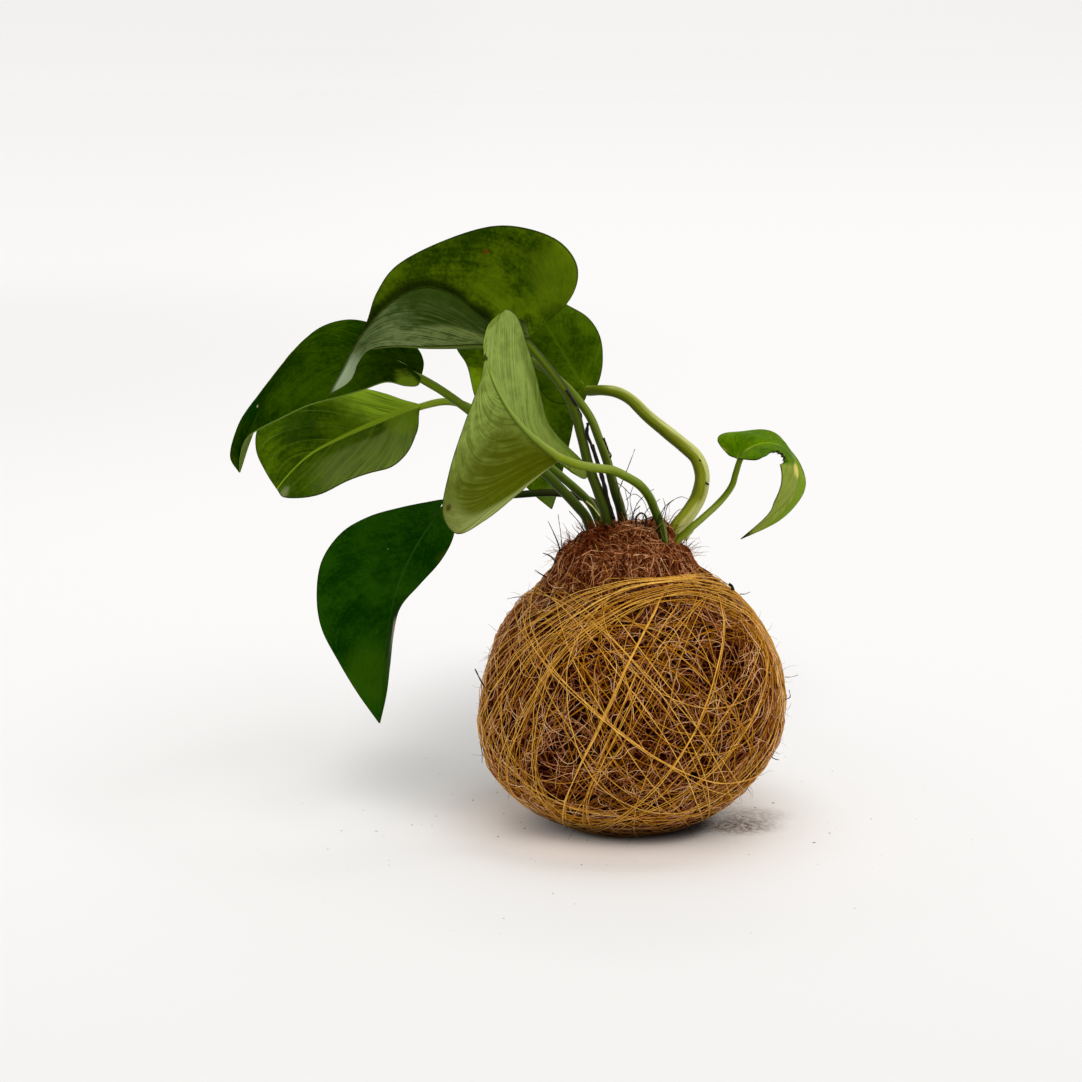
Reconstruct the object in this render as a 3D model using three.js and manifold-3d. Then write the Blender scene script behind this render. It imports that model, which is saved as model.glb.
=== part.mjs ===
// Kokedama: a leafy vine planted in a ball of coir fibre that is wound with thread.
// Millimetres, +Z up. The origin is the centre of the flat spot that the ball rests on,
// and -Y is the side that the plant is looked at from.

import * as THREE from "three";
import Module from "manifold-3d";
import { ParametricGeometry } from "three/addons/geometries/ParametricGeometry.js";
import { mergeVertices } from "three/addons/utils/BufferGeometryUtils.js";

// The ball
const BALL_RADIUS = 55;
const WIDEST_Z = 41;
const LOWER_HEIGHT = 43;
const SHOULDER = [
  [55, 41], [54, 54], [49.5, 68.5], [43, 79], [36, 86.5], [29.5, 92.5], [25.5, 97], [23, 101],
];
const COIR_THICKNESS = 7;
const RIM_RADIUS = 23;
const RIM_Z = 103;
const RIM_ROUND = 1.2;
const MOUTH_RADIUS = 19.5;
const MOUND = [[18.5, 103.5], [16, 107], [9.5, 110.7], [0, 112]];
const MOUND_LEAN = 0.22;
const NECK_Z = 96;
const LIFT_START_Z = 92;
const RIM_LIFT_LEFT = 2;
const RIM_LIFT_FRONT = 1;
const RELIEF = 0.6;
const CENTRE_Z = 45;
const BALL_SEGMENTS = 44;
const OUTER_RINGS = 8;
const OUTER_SHOULDER_RINGS = 10;
const INNER_RINGS = 5;
const INNER_SHOULDER_RINGS = 6;
const SOIL_GAP = 0.45;
const HOLE_GAP = 0.6;

// The winding
const THREAD_RADIUS = 0.7;
const THREAD_GAP = 0.35;
const THREAD_SIDES = 3;
const THREAD_STEPS = 40;
const NET_LOOPS = 9;
const NET_TILTS = [58, 32, 47];
const BAND_LOOPS = 3;
const BAND_TILT = 14;
const BAND_HEADING = 170;
const BAND_FAN = 10;
const BAND_ANGLE = 50;
const BAND_SPREAD = 5;

// The plant
const BLADE_THICKNESS = 0.8;
const BLADE_ROWS = 14;
const BLADE_COLUMNS = 8;
const STEM_SIDES = 8;
const STEM_STEP = 7;
const RIB_LEAD = 1.3;
const LOBE_END = 0.3;
const TIP_START = 0.95;

// Each leaf is held by three curves from its base to its tip: the midrib, and the margins on the
// left and right of it as seen from the glossy upper face. The bulges lift each half between them.
const LEAVES = {
  top: {
    rib: [[-36, 0, 178.5], [-51, -5, 177], [-71, -9, 176.5], [-85, -16, 177.5], [-91.5, -20, 176.5],
      [-95.5, -23, 172], [-98, -25, 166.5], [-105, -27, 162]],
    left: [[-38, -14, 185.5], [-44.5, -26, 188], [-50.5, -34, 189], [-60, -39, 197], [-69.5, -40, 200],
      [-78, -38, 198], [-85.5, -33, 192.5], [-91.5, -29, 185], [-96.5, -27, 177.5], [-100.5, -27, 170]],
    right: [[-22.5, 5, 190], [-19, 9, 201], [-24.5, 12, 210], [-36, 12, 215], [-50, 11, 216],
      [-67.5, 8, 211], [-82.5, 2, 203.5], [-89.5, -5, 194.5], [-92.5, -11, 185.5], [-95.5, -18, 177],
      [-97, -23, 169]],
    bulge: [-0.06, -0.08],
  },
  front: {
    rib: [[-25.5, -38, 141], [-33.5, -46, 148.5], [-41, -51, 157], [-46, -54, 166], [-49.5, -54, 173.5],
      [-51, -52, 181.5], [-49.5, -50, 188.5], [-45.5, -48, 192.5]],
    left: [[-21, -34, 136], [-16.5, -29, 133], [-17.5, -28, 138], [-23.5, -31, 145], [-29, -35, 153],
      [-32, -38, 162.5], [-34.5, -40, 173], [-37, -42, 182.5], [-39.5, -44, 190], [-43, -46, 193.5]],
    right: [[-30.5, -40, 137.5], [-41, -46, 130], [-51, -52, 123], [-60, -56, 119], [-65, -60, 127],
      [-62.5, -62, 142], [-58, -62, 155.5], [-53.5, -59, 167.5], [-50.5, -54, 175.5], [-49, -48, 183.5]],
    bulge: [0.05, 0.05],
  },
  left: {
    rib: [[-74.5, 4, 163.5], [-82, 4, 169], [-92, 3, 172], [-103, 3, 172.5], [-114, 4, 171.5],
      [-123, 6, 167], [-129.5, 8, 159], [-134.5, 10, 145], [-138, 12, 136], [-141, 13, 127]],
    left: [[-75.5, -2, 161.5], [-80, -6, 161.5], [-86.5, -10, 163.5], [-94.5, -13, 161.5], [-104, -14, 158.5],
      [-113.5, -13, 155.5], [-122.5, -11, 151.5], [-130.5, -6, 147], [-136.5, 1, 141.5], [-140, 8, 134]],
    right: [[-74, 10, 168], [-77.5, 18, 172.5], [-85, 24, 176.5], [-94, 27, 180], [-103, 28, 180.5],
      [-113, 27, 177.5], [-121, 24, 171], [-128, 20, 161], [-135.5, 18, 152.5], [-141.5, 16, 144],
      [-144.5, 14, 133.5]],
    bulge: [0.05, 0.05],
  },
  left_low: {
    rib: [[-76, 24, 150.5], [-83.5, 24, 147.5], [-92.5, 24, 143.5], [-103.5, 25, 138.5], [-115, 26, 132.5],
      [-123, 27, 125.5], [-129, 26, 118.5]],
    left: [[-76.5, 20, 146.5], [-77, 14, 141.5], [-79.5, 9, 135.5], [-85, 6, 131.5], [-92.5, 5, 129],
      [-101.5, 6, 125], [-111, 10, 120.5], [-120.5, 16, 117.5], [-126, 21, 116.5]],
    right: [[-82, 28, 151.5], [-89.5, 32, 153], [-97, 36, 154.5], [-107, 40, 155], [-118.5, 42, 153.5],
      [-129, 42, 148.5], [-136.5, 38, 140.5], [-137, 34, 132.5], [-133.5, 30, 124.5]],
    bulge: [0.05, 0.05],
  },
  hanging: {
    rib: [[-68.5, 12, 115], [-72, 10, 109], [-77, 7, 101.5], [-82, 5, 92], [-85.5, 3, 81.5],
      [-88, 2, 67.5], [-90.5, 3, 50.5], [-91, 4, 35.5]],
    left: [[-64.5, 10, 113], [-63.5, 8, 105.5], [-68, 6, 96.5], [-76, 5, 87.5], [-83, 6, 79],
      [-86, 8, 69], [-87, 7, 57.5], [-88.5, 5, 46.5]],
    right: [[-67.5, 15, 117], [-74, 15, 116], [-84, 14, 114], [-94.5, 11, 111.5], [-104, 7, 106.5],
      [-111, 4, 97], [-113, 2, 85], [-111.5, 1, 72.5], [-105.5, 1, 60], [-98.5, 3, 47]],
    bulge: [0.04, 0.06],
  },
  back: {
    rib: [[-15, 26, 154.5], [-19, 28, 160.5], [-24, 31, 168.5], [-29.5, 34, 177], [-34.5, 37, 185],
      [-38, 39, 192.5]],
    left: [[-17, 28, 150.5], [-22, 27, 150], [-28, 27, 151], [-32, 28.5, 154.5], [-34.5, 31.5, 160.5],
      [-37, 35, 168], [-38, 37, 176.5], [-38.5, 38.5, 185.5]],
    right: [[-11.5, 30, 156.5], [-9.5, 32, 165], [-10.5, 34, 174], [-15.5, 38, 181], [-23.5, 41, 185.5],
      [-30.5, 41, 189.5]],
    bulge: [0.05, 0.05],
  },
  rear: {
    rib: [[-44.5, 41, 167.5], [-43, 46, 156], [-40, 50, 144.5], [-36, 51, 131], [-32, 49, 118],
      [-28, 46, 107]],
    left: [[-40, 41, 170], [-31.5, 42, 167], [-24.5, 43, 159], [-20, 44, 149], [-20, 45, 140.5],
      [-21.5, 46, 131.5], [-24, 47, 122], [-26, 47, 113]],
    right: [[-48.5, 39, 171], [-54.5, 38, 174.5], [-61, 38, 173.5], [-63, 38, 169], [-59.5, 40, 162.5],
      [-57, 43, 151], [-52, 46, 138], [-45.5, 48, 125], [-36, 48, 113.5]],
    bulge: [0.05, 0.05],
  },
  small: {
    rib: [[37.5, -4, 135.5], [42.5, -4, 139.5], [48, -4, 141], [53.5, -4, 139.5], [57.5, -5, 135],
      [59, -6, 129], [57, -7, 123.5], [53, -8, 119], [47, -9, 114], [38.5, -8, 107]],
    left: [[34.5, 2, 136], [31, 6, 140], [33.5, 8, 142.5], [40, 8, 143.5], [47, 7, 144],
      [52, 5, 142.5], [56.5, 3, 138], [60.5, 1, 132.5], [62, -1, 126], [59, -3, 119.5], [52, -6, 113]],
    right: [[38.5, -9, 136], [43, -14, 137], [46.5, -16, 138.5], [50, -16, 137.5], [52, -16, 134.5],
      [52, -15, 129], [50, -13, 122], [48, -11, 116.5]],
    bulge: [0.05, 0.05],
  },
};

// Each stem runs from its root end in the soil towards the base of its leaf, with its radius at
// both ends. It stops short of the leaf's base, so that the two don't touch.
const STEMS = {
  vine_stem: {
    leaf: "back",
    short: 0.8,
    radii: [3.1, 1.6],
    path: [[12.5, 2, 92], [14, 2.5, 103], [16.5, 3, 108.5], [20.5, 4, 113.5], [24, 5, 119],
      [25.5, 5, 124.5], [25.5, 6, 129], [23.5, 7, 134], [19, 9, 138], [13, 12, 142.5], [6.5, 15, 147.5],
      [0.5, 18, 153], [-4.5, 20, 155.5], [-9.5, 22, 156]],
  },
  petiole_top: {
    leaf: "top",
    short: 0.7,
    radii: [2.3, 1.5],
    path: [[-6, -3, 91], [-6.5, -3, 103], [-9, -3, 116], [-11.5, -3, 123], [-15, -3, 132.5],
      [-17.5, -3, 142.5], [-21, -2, 154.5], [-27, -1, 164]],
  },
  petiole_rear: {
    leaf: "rear",
    short: 1.5,
    radii: [2, 1.2],
    path: [[-1, 3, 91], [-1.5, 3, 104], [-3.5, 4, 115.5], [-5.5, 4, 122], [-8.5, 6, 133], [-11.5, 8, 141],
      [-14, 11, 147], [-17.5, 14, 152], [-23, 18, 158], [-29, 22, 162.5], [-34.5, 26, 165.5],
      [-40, 33, 167.5]],
  },
  petiole_front: {
    leaf: "front",
    short: 1.7,
    radii: [1.7, 1.5],
    path: [[11, -8.5, 91], [11.5, -9, 103], [10.5, -9.5, 112], [8, -11, 118.5], [6, -14, 123.5],
      [2.5, -18, 128.5], [-2.5, -23, 132.5], [-7.5, -27, 135.5], [-14, -33, 137.5], [-20, -40, 140]],
  },
  petiole_left: {
    leaf: "left",
    short: 0.9,
    radii: [2.1, 1.5],
    path: [[-12.5, 4, 91], [-13, 4, 104], [-15.5, 4.5, 112], [-18.5, 5, 116], [-24, 5, 122],
      [-32.5, 5, 130.5], [-45, 5, 141.5], [-59, 4, 152.5], [-68, 4, 159]],
  },
  petiole_left_low: {
    leaf: "left_low",
    short: 0.6,
    radii: [1.8, 1.3],
    path: [[-8.5, 9.5, 91], [-9.5, 9.5, 104], [-11.5, 10, 111], [-14.5, 12, 116.5], [-21, 14, 122.5],
      [-30.5, 17, 130], [-45, 21, 141.5], [-58, 23, 149.5], [-67, 24, 151.5]],
  },
  petiole_hanging: {
    leaf: "hanging",
    short: 1.8,
    radii: [1.5, 1.2],
    path: [[-3, 13, 91], [-4, 13.5, 104], [-7.5, 15, 111], [-12, 17, 115], [-18, 18, 117.5],
      [-29, 17.5, 119], [-43.5, 15.5, 118.5], [-58, 13.5, 118]],
  },
  petiole_small: {
    leaf: "small",
    short: 0.9,
    radii: [1.5, 1.1],
    path: [[13, -4.5, 93], [14.5, -4.5, 103], [20, -5, 109.5], [25, -5, 114], [31.5, -4, 120],
      [35.5, -4, 125.5], [37, -4, 130.5]],
  },
};

// Colours and finishes as the photograph shows them
const MATERIALS = {
  coir: new THREE.MeshStandardMaterial({ color: 0x6b3a20, roughness: 0.95, metalness: 0 }),
  thread: new THREE.MeshStandardMaterial({ color: 0xb07a20, roughness: 0.7, metalness: 0 }),
  soil: new THREE.MeshStandardMaterial({ color: 0x2a1c12, roughness: 1, metalness: 0 }),
  leaf: new THREE.MeshStandardMaterial({ color: 0x2e5a14, roughness: 0.35, metalness: 0 }),
  stem: new THREE.MeshStandardMaterial({ color: 0x7d9230, roughness: 0.45, metalness: 0 }),
};

const wasm = await Module();
wasm.setup();

function vector([x, y, z]) {
  return new THREE.Vector3(x, y, z);
}

function spline(points) {
  return new THREE.CatmullRomCurve3(points.map(vector), false, "catmullrom", 0.5);
}

// A geometry with shared corners only, no flat triangles, and its faces pointing outwards
function closed(geometry) {
  geometry.deleteAttribute("normal");
  geometry.deleteAttribute("uv");
  const merged = mergeVertices(geometry, 1e-4);
  const kept = [];
  const index = merged.index.array;
  for (let i = 0; i < index.length; i += 3) {
    const [a, b, c] = [index[i], index[i + 1], index[i + 2]];
    if (a !== b && b !== c && c !== a) kept.push(a, b, c);
  }
  merged.setIndex(kept);
  if (volume(merged) < 0) {
    for (let i = 0; i < kept.length; i += 3) {
      [kept[i + 1], kept[i + 2]] = [kept[i + 2], kept[i + 1]];
    }
    merged.setIndex(kept);
  }
  return merged;
}

function volume(geometry) {
  const at = geometry.getAttribute("position");
  const [a, b, c] = [new THREE.Vector3(), new THREE.Vector3(), new THREE.Vector3()];
  const index = geometry.index.array;
  let sum = 0;
  for (let i = 0; i < index.length; i += 3) {
    a.fromBufferAttribute(at, index[i]);
    b.fromBufferAttribute(at, index[i + 1]);
    c.fromBufferAttribute(at, index[i + 2]);
    sum += a.dot(b.cross(c)) / 6;
  }
  return sum;
}

function solid(geometry) {
  const shape = new wasm.Mesh({
    numProp: 3,
    vertProperties: new Float32Array(geometry.getAttribute("position").array),
    triVerts: new Uint32Array(geometry.index.array),
  });
  return new wasm.Manifold(shape);
}

function fromSolid(body) {
  const mesh = body.getMesh();
  const geometry = new THREE.BufferGeometry();
  geometry.setAttribute("position", new THREE.BufferAttribute(new Float32Array(mesh.vertProperties), 3));
  geometry.setIndex(Array.from(mesh.triVerts));
  return geometry;
}

function named(name, geometry, material) {
  const mesh = new THREE.Mesh(geometry, material);
  mesh.name = name;
  return mesh;
}

// Half the ball's outline, from the edge of the foot up to the rim, all of it drawn in by inset:
// part of an ellipse up to the widest height, then the shoulder that draws in to the neck
function outline(inset, rings, shoulderRings) {
  const radius = BALL_RADIUS - inset;
  const height = LOWER_HEIGHT - inset;
  const foot = inset === 0 ? 0 : WIDEST_Z - height;
  const start = Math.asin(Math.min(1, (WIDEST_Z - foot) / height));
  const points = [];
  for (let i = 0; i < rings; i += 1) {
    const angle = start * (1 - i / rings);
    points.push(new THREE.Vector2(radius * Math.cos(angle), WIDEST_Z - height * Math.sin(angle)));
  }
  const shoulder = new THREE.SplineCurve(SHOULDER.map(([r, z]) => new THREE.Vector2(r - inset, z)));
  points.push(...shoulder.getPoints(shoulderRings));
  return points;
}

// How far the fibre stands out from the outline, as a sum of slow waves that die out at foot and neck
function relief(angle, z) {
  const up = z / BALL_RADIUS;
  const fade = THREE.MathUtils.smoothstep(z, 2, 14) * (1 - THREE.MathUtils.smoothstep(z, 88, 100));
  return RELIEF * fade * (0.6 * Math.sin(5 * angle + 4 * up) + 0.4 * Math.sin(8 * angle - 7 * up + 1));
}

// How much higher the neck stands at the left and the front, where the fibre is gathered up
function lift(x, y, z) {
  const share = THREE.MathUtils.smoothstep(z, LIFT_START_Z, RIM_Z);
  return share * (-RIM_LIFT_LEFT * x - RIM_LIFT_FRONT * y) / RIM_RADIUS;
}

// A solid turned around the upright axis from half an outline
function turned(points) {
  return closed(new THREE.LatheGeometry(points, BALL_SEGMENTS).rotateX(Math.PI / 2));
}

function ball() {
  const points = [
    new THREE.Vector2(0, 0),
    ...outline(0, OUTER_RINGS, OUTER_SHOULDER_RINGS),
    new THREE.Vector2(RIM_RADIUS - RIM_ROUND, RIM_Z),
    new THREE.Vector2(0, RIM_Z),
  ];
  const geometry = turned(points);
  const at = geometry.getAttribute("position");
  for (let i = 0; i < at.count; i += 1) {
    const [x, y, z] = [at.getX(i), at.getY(i), at.getZ(i)];
    const radius = Math.hypot(x, y);
    const grow = radius > 0 ? 1 + relief(Math.atan2(y, x), z) / radius : 1;
    at.setXYZ(i, x * grow, y * grow, z + lift(x, y, z));
  }
  return geometry;
}

// The hollow of the coir, drawn in by inset. It ends at the mouth in the points of top.
function hollow(inset, top) {
  const mouth = MOUTH_RADIUS - inset;
  const wall = outline(COIR_THICKNESS + inset, INNER_RINGS, INNER_SHOULDER_RINGS)
    .filter((p) => p.x > mouth || p.y < WIDEST_Z);
  wall[0].x = 0;
  const neck = [[mouth, NECK_Z], ...top].map(([r, z]) => new THREE.Vector2(r, z));
  return turned([...wall, ...neck]);
}

function coirWrap() {
  const above = RIM_Z + RIM_LIFT_LEFT + RIM_LIFT_FRONT;
  const body = solid(ball()).subtract(solid(hollow(0, [[MOUTH_RADIUS, above], [0, above]])));
  return named("coir_wrap", fromSolid(body), MATERIALS.coir);
}

// The soil fills the hollow and is heaped up between the stems, higher towards the left
function soilCore(holes) {
  const edge = [MOUTH_RADIUS - SOIL_GAP, MOUND[0][1] - RIM_ROUND];
  const filling = hollow(SOIL_GAP, [edge, ...MOUND]);
  const at = filling.getAttribute("position");
  for (let i = 0; i < at.count; i += 1) {
    const [x, z] = [at.getX(i), at.getZ(i)];
    at.setZ(i, z - MOUND_LEAN * x * THREE.MathUtils.smoothstep(z, NECK_Z, MOUND[1][1]));
  }
  let body = solid(filling);
  for (const hole of holes) body = body.subtract(solid(hole));
  return named("soil_core", fromSolid(body), MATERIALS.soil);
}

const BALL_OUTLINE = outline(0, OUTER_RINGS, OUTER_SHOULDER_RINGS);

// The angle at the ball's centre between the upright and a point of the outline
function slopeTo(point) {
  return Math.atan2(point.x, point.y - CENTRE_Z);
}

// Distance from the ball's centre to its outer surface in a direction
function surfaceDistance(direction) {
  const slope = Math.atan2(Math.hypot(direction.x, direction.y), direction.z);
  let i = 1;
  while (i < BALL_OUTLINE.length - 1 && slopeTo(BALL_OUTLINE[i]) > slope) i += 1;
  const [p, q] = [BALL_OUTLINE[i - 1], BALL_OUTLINE[i]];
  const [a, b] = [slopeTo(p), slopeTo(q)];
  const share = (a - slope) / (a - b);
  const radius = p.x + (q.x - p.x) * share;
  const z = p.y + (q.y - p.y) * share;
  const out = relief(Math.atan2(direction.y, direction.x), z);
  return Math.hypot(radius, z - CENTRE_Z) + out;
}

// One closed turn of thread. It keeps a constant angle to its axis, which leans from the upright
// by tilt towards the heading, so that at 90 degrees it runs around the middle of the ball.
function threadTurn(tilt, heading, angle) {
  const radians = THREE.MathUtils.degToRad;
  const axis = new THREE.Vector3(
    Math.sin(radians(tilt)) * Math.cos(radians(heading)),
    Math.sin(radians(tilt)) * Math.sin(radians(heading)),
    Math.cos(radians(tilt)),
  );
  const side = new THREE.Vector3(-Math.sin(radians(heading)), Math.cos(radians(heading)), 0);
  const other = new THREE.Vector3().crossVectors(axis, side);
  const centre = (v) => {
    const turn = 2 * Math.PI * v;
    const out = axis.clone().multiplyScalar(Math.cos(radians(angle)))
      .addScaledVector(side, Math.sin(radians(angle)) * Math.cos(turn))
      .addScaledVector(other, Math.sin(radians(angle)) * Math.sin(turn));
    const distance = surfaceDistance(out) + THREAD_GAP + THREAD_RADIUS;
    return { out, point: out.clone().multiplyScalar(distance).setZ(out.z * distance + CENTRE_Z) };
  };
  const place = (u, v, target) => {
    const { out, point } = centre(v % 1);
    const ahead = centre((v + 0.001) % 1).point.sub(point).normalize();
    const across = new THREE.Vector3().crossVectors(ahead, out).normalize();
    const around = 2 * Math.PI * (u % 1);
    target.copy(point)
      .addScaledVector(out, THREAD_RADIUS * Math.cos(around))
      .addScaledVector(across, THREAD_RADIUS * Math.sin(around));
  };
  return closed(new ParametricGeometry(place, THREAD_SIDES, THREAD_STEPS));
}

// Turns that cross all over the ball, and a slanted band of turns below the neck
function threadWinding() {
  const turns = [];
  for (let i = 0; i < NET_LOOPS; i += 1) {
    turns.push(threadTurn(NET_TILTS[i % NET_TILTS.length], (360 * i) / NET_LOOPS, 90));
  }
  for (let i = 0; i < BAND_LOOPS; i += 1) {
    turns.push(threadTurn(BAND_TILT, BAND_HEADING + BAND_FAN * i, BAND_ANGLE + BAND_SPREAD * i));
  }
  let body = solid(turns[0]);
  for (const turn of turns.slice(1)) body = body.add(solid(turn));
  return named("thread_winding", fromSolid(body), MATERIALS.thread);
}

// The path of a stem, from its root end to just short of the base of its leaf
function stemPath({ leaf, path, short }) {
  const base = vector(LEAVES[leaf].rib[0]);
  const end = vector(path[path.length - 1]).sub(base).setLength(short).add(base);
  return [...path, end.toArray()];
}

// A round bar along a path, that tapers evenly between its two radii
function bar(path, radii, grow) {
  const curve = spline(path);
  const steps = Math.ceil(curve.getLength() / STEM_STEP);
  const section = new THREE.Shape();
  for (let i = 0; i < STEM_SIDES; i += 1) {
    const angle = (2 * Math.PI * i) / STEM_SIDES;
    const corner = [Math.cos(angle), Math.sin(angle)];
    if (i === 0) section.moveTo(...corner);
    else section.lineTo(...corner);
  }
  section.closePath();
  const along = { steps, extrudePath: curve, bevelEnabled: false };
  const geometry = closed(new THREE.ExtrudeGeometry(section, along));
  const centres = curve.getSpacedPoints(steps);
  const at = geometry.getAttribute("position");
  const corner = new THREE.Vector3();
  for (let i = 0; i < at.count; i += 1) {
    corner.fromBufferAttribute(at, i);
    const ring = centres.findIndex((centre) => Math.abs(centre.distanceTo(corner) - 1) < 1e-3);
    const radius = THREE.MathUtils.lerp(radii[0], radii[1], ring / steps) + grow;
    corner.sub(centres[ring]).multiplyScalar(radius).add(centres[ring]);
    at.setXYZ(i, corner.x, corner.y, corner.z);
  }
  return geometry;
}

function stems() {
  return Object.entries(STEMS).map(([name, stem]) => (
    named(name, bar(stemPath(stem), stem.radii, 0), MATERIALS.stem)
  ));
}

// The hole that a stem leaves in the soil: the stem itself, a little thicker and deeper
function stemHoles() {
  return Object.values(STEMS).map((stem) => {
    const path = stemPath(stem);
    const [end, next] = [vector(path[0]), vector(path[1])];
    path[0] = end.add(end.clone().sub(next).setLength(HOLE_GAP)).toArray();
    return bar(path, stem.radii, HOLE_GAP);
  });
}

// A blade's place and upper face direction. t runs from base to tip and s from the right margin
// at -1 over the midrib at 0 to the left margin at 1. Towards the base and the tip, the direction
// is the one that each half has where its lobe ends and its tip starts.
function bladeSurface(leaf) {
  const rib = spline(leaf.rib);
  const [base, tip] = [leaf.rib[0], leaf.rib[leaf.rib.length - 1]];
  const margins = {
    left: spline([base, ...leaf.left, tip]),
    right: spline([base, ...leaf.right, tip]),
  };
  const root = (t) => rib.getPointAt(t ** RIB_LEAD);
  const across = (t, side) => margins[side].getPoint(t).sub(root(t));
  const up = (t, side) => {
    const clear = THREE.MathUtils.clamp(t, LOBE_END, TIP_START);
    const ahead = rib.getTangentAt(clear ** RIB_LEAD);
    const sign = side === "left" ? 1 : -1;
    return ahead.cross(across(clear, side)).normalize().multiplyScalar(sign);
  };
  const upper = (t, s) => {
    const middle = up(t, "left").add(up(t, "right")).normalize();
    const share = t > 0 && t < 1 ? Math.min(1, 2 * Math.abs(s)) : 0;
    return middle.lerp(up(t, s > 0 ? "left" : "right"), share).normalize();
  };
  const place = (t, s) => {
    const side = s > 0 ? "left" : "right";
    const out = across(t, side);
    const bulge = leaf.bulge[s > 0 ? 0 : 1] * out.length() * 4 * Math.abs(s) * (1 - Math.abs(s));
    return root(t).addScaledVector(out, Math.abs(s)).addScaledVector(up(t, side), bulge);
  };
  return { place, upper };
}

// A closed blade: its section runs over the upper face and back under the lower one
function blade(leaf) {
  const { place, upper } = bladeSurface(leaf);
  const corners = 2 * (BLADE_COLUMNS + 1);
  const shape = (u, v, target) => {
    const corner = Math.round(u * corners) % corners;
    const above = corner <= BLADE_COLUMNS;
    const column = above ? corner : corners - 1 - corner;
    const s = 1 - (2 * column) / BLADE_COLUMNS;
    const offset = (above ? 0.5 : -0.5) * BLADE_THICKNESS;
    target.copy(place(v, s)).addScaledVector(upper(v, s), offset);
  };
  return closed(new ParametricGeometry(shape, corners, BLADE_ROWS));
}

function leaves() {
  return Object.entries(LEAVES).map(([name, leaf]) => named(`leaf_${name}`, blade(leaf), MATERIALS.leaf));
}

const plant = new THREE.Group();
plant.add(coirWrap(), soilCore(stemHoles()), threadWinding(), ...stems(), ...leaves());

export default plant;
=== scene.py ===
# Looks of the kokedama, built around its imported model: a coir ball wound with thread, and the
# leafy vine that grows out of it. The tables are in millimetres, in the model's own frame.

import math

import bpy
import numpy as np
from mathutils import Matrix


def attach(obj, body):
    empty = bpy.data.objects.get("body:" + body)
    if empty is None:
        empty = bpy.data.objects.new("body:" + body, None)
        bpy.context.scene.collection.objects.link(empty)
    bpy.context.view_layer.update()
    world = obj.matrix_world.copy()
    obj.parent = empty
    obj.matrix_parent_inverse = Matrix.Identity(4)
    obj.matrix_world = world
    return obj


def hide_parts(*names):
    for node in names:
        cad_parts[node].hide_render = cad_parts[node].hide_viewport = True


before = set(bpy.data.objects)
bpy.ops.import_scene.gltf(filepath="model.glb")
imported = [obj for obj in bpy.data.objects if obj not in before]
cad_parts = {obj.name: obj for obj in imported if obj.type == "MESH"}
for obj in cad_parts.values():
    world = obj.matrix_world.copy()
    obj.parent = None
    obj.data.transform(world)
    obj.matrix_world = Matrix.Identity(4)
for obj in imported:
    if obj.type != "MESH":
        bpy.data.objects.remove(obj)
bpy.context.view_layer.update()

MM = 0.001

# Camera: its lens and sensor, how far it stands from the place that it looks at, how steeply it
# looks down, and the photograph's size. From these follow the focal length in pixels, the directions
# ahead of the camera and up its picture, and the camera's own place.
CAMERA_LENS = 85
CAMERA_SENSOR = 36
CAMERA_DISTANCE = 915
CAMERA_ELEVATION = 12
CAMERA_TARGET = (-32.1, 0, 104.8)
PHOTO_PIXELS = 1082
FOCAL = PHOTO_PIXELS * CAMERA_LENS / CAMERA_SENSOR
DOWN = math.radians(CAMERA_ELEVATION)
AHEAD = np.array([0, math.cos(DOWN), -math.sin(DOWN)])
UP = np.array([0, math.sin(DOWN), math.cos(DOWN)])
EYE = np.array(CAMERA_TARGET) - CAMERA_DISTANCE * AHEAD

# Light: the direction that the soft sun comes from, how many degrees wide it is and its power, and
# the strength and tone of the even light all round
SUN_FROM = (0.22, -0.42, 1)
SUN_SPREAD = 62
SUN_POWER = 1.5
AIR_LIGHT = 0.66
AIR_TONE = (1, 0.99, 0.98, 1)

# The floor: its radius and how high its rim rises in metres, the share of the radius at which it
# starts to rise, its corners all round, and its tone
FLOOR_RADIUS = 15
FLOOR_RISE = 1.4
RISE_START = 0.4
FLOOR_CORNERS = 96
FLOOR_TONE = (0.895, 0.888, 0.88, 1)

# Painted shade on the floor: how its tone goes with the place in metres, a little darker just before
# the plant, far behind it and far to the sides: the axis, where the change starts and ends, and the
# shares of the tone before and after it
FLOOR_SHADE_FADES = [
    ("Y", -0.35, 0.0, 0.93, 1.0), ("Y", 1.0, 6.0, 1.0, 0.955), ("Y", 5.5, 8.5, 1.0, 0.945),
    ("X", -0.6, -0.1, 0.98, 1.0), ("X", 0.8, 3.5, 1.0, 0.975),
]

# Painted light: the paler ring round the foot, and within it a warmer tone as painted bounce light
# from the ball: between which distances in metres each fades, and how strong it is
PAINTED_LIGHT_RING = (0.068, 0.135, 1.035)
PAINTED_BOUNCE_RING = (0.045, 0.09, 0.8)
PAINTED_BOUNCE_TONE = (1, 0.955, 0.9, 1)

# Painted light: the floor just before the foot glows, in place of the light that it would get from low
# in front: its strength and colour, how much a distance to the side counts, and between which
# distances in metres it comes in and goes out
FLOOR_GLOW = 0.32
GLOW_TONE = (1, 0.82, 0.71, 1)
GLOW_SIDEWAYS = 0.78
GLOW_IN = (0.018, 0.034)
GLOW_OUT = (0.034, 0.056)

# Dust on the floor, which by the foot also stands in for part of its shadow as painted shadow: its
# centre, how much flatter it is from front to back, its reach and strength
DUST_AND_SHADOW = [((38, -6), 1.6, 22, 0.95), ((45, 6), 1.4, 19, 0.5), ((0, -8), 1.0, 60, 0.12)]

# Painted contact shadow on the floor by the foot: the centre of the dark edge under the ball, and where
# it begins and ends
PAINTED_CONTACT_SHADOW = ((5, -2), 20, 28)
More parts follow.
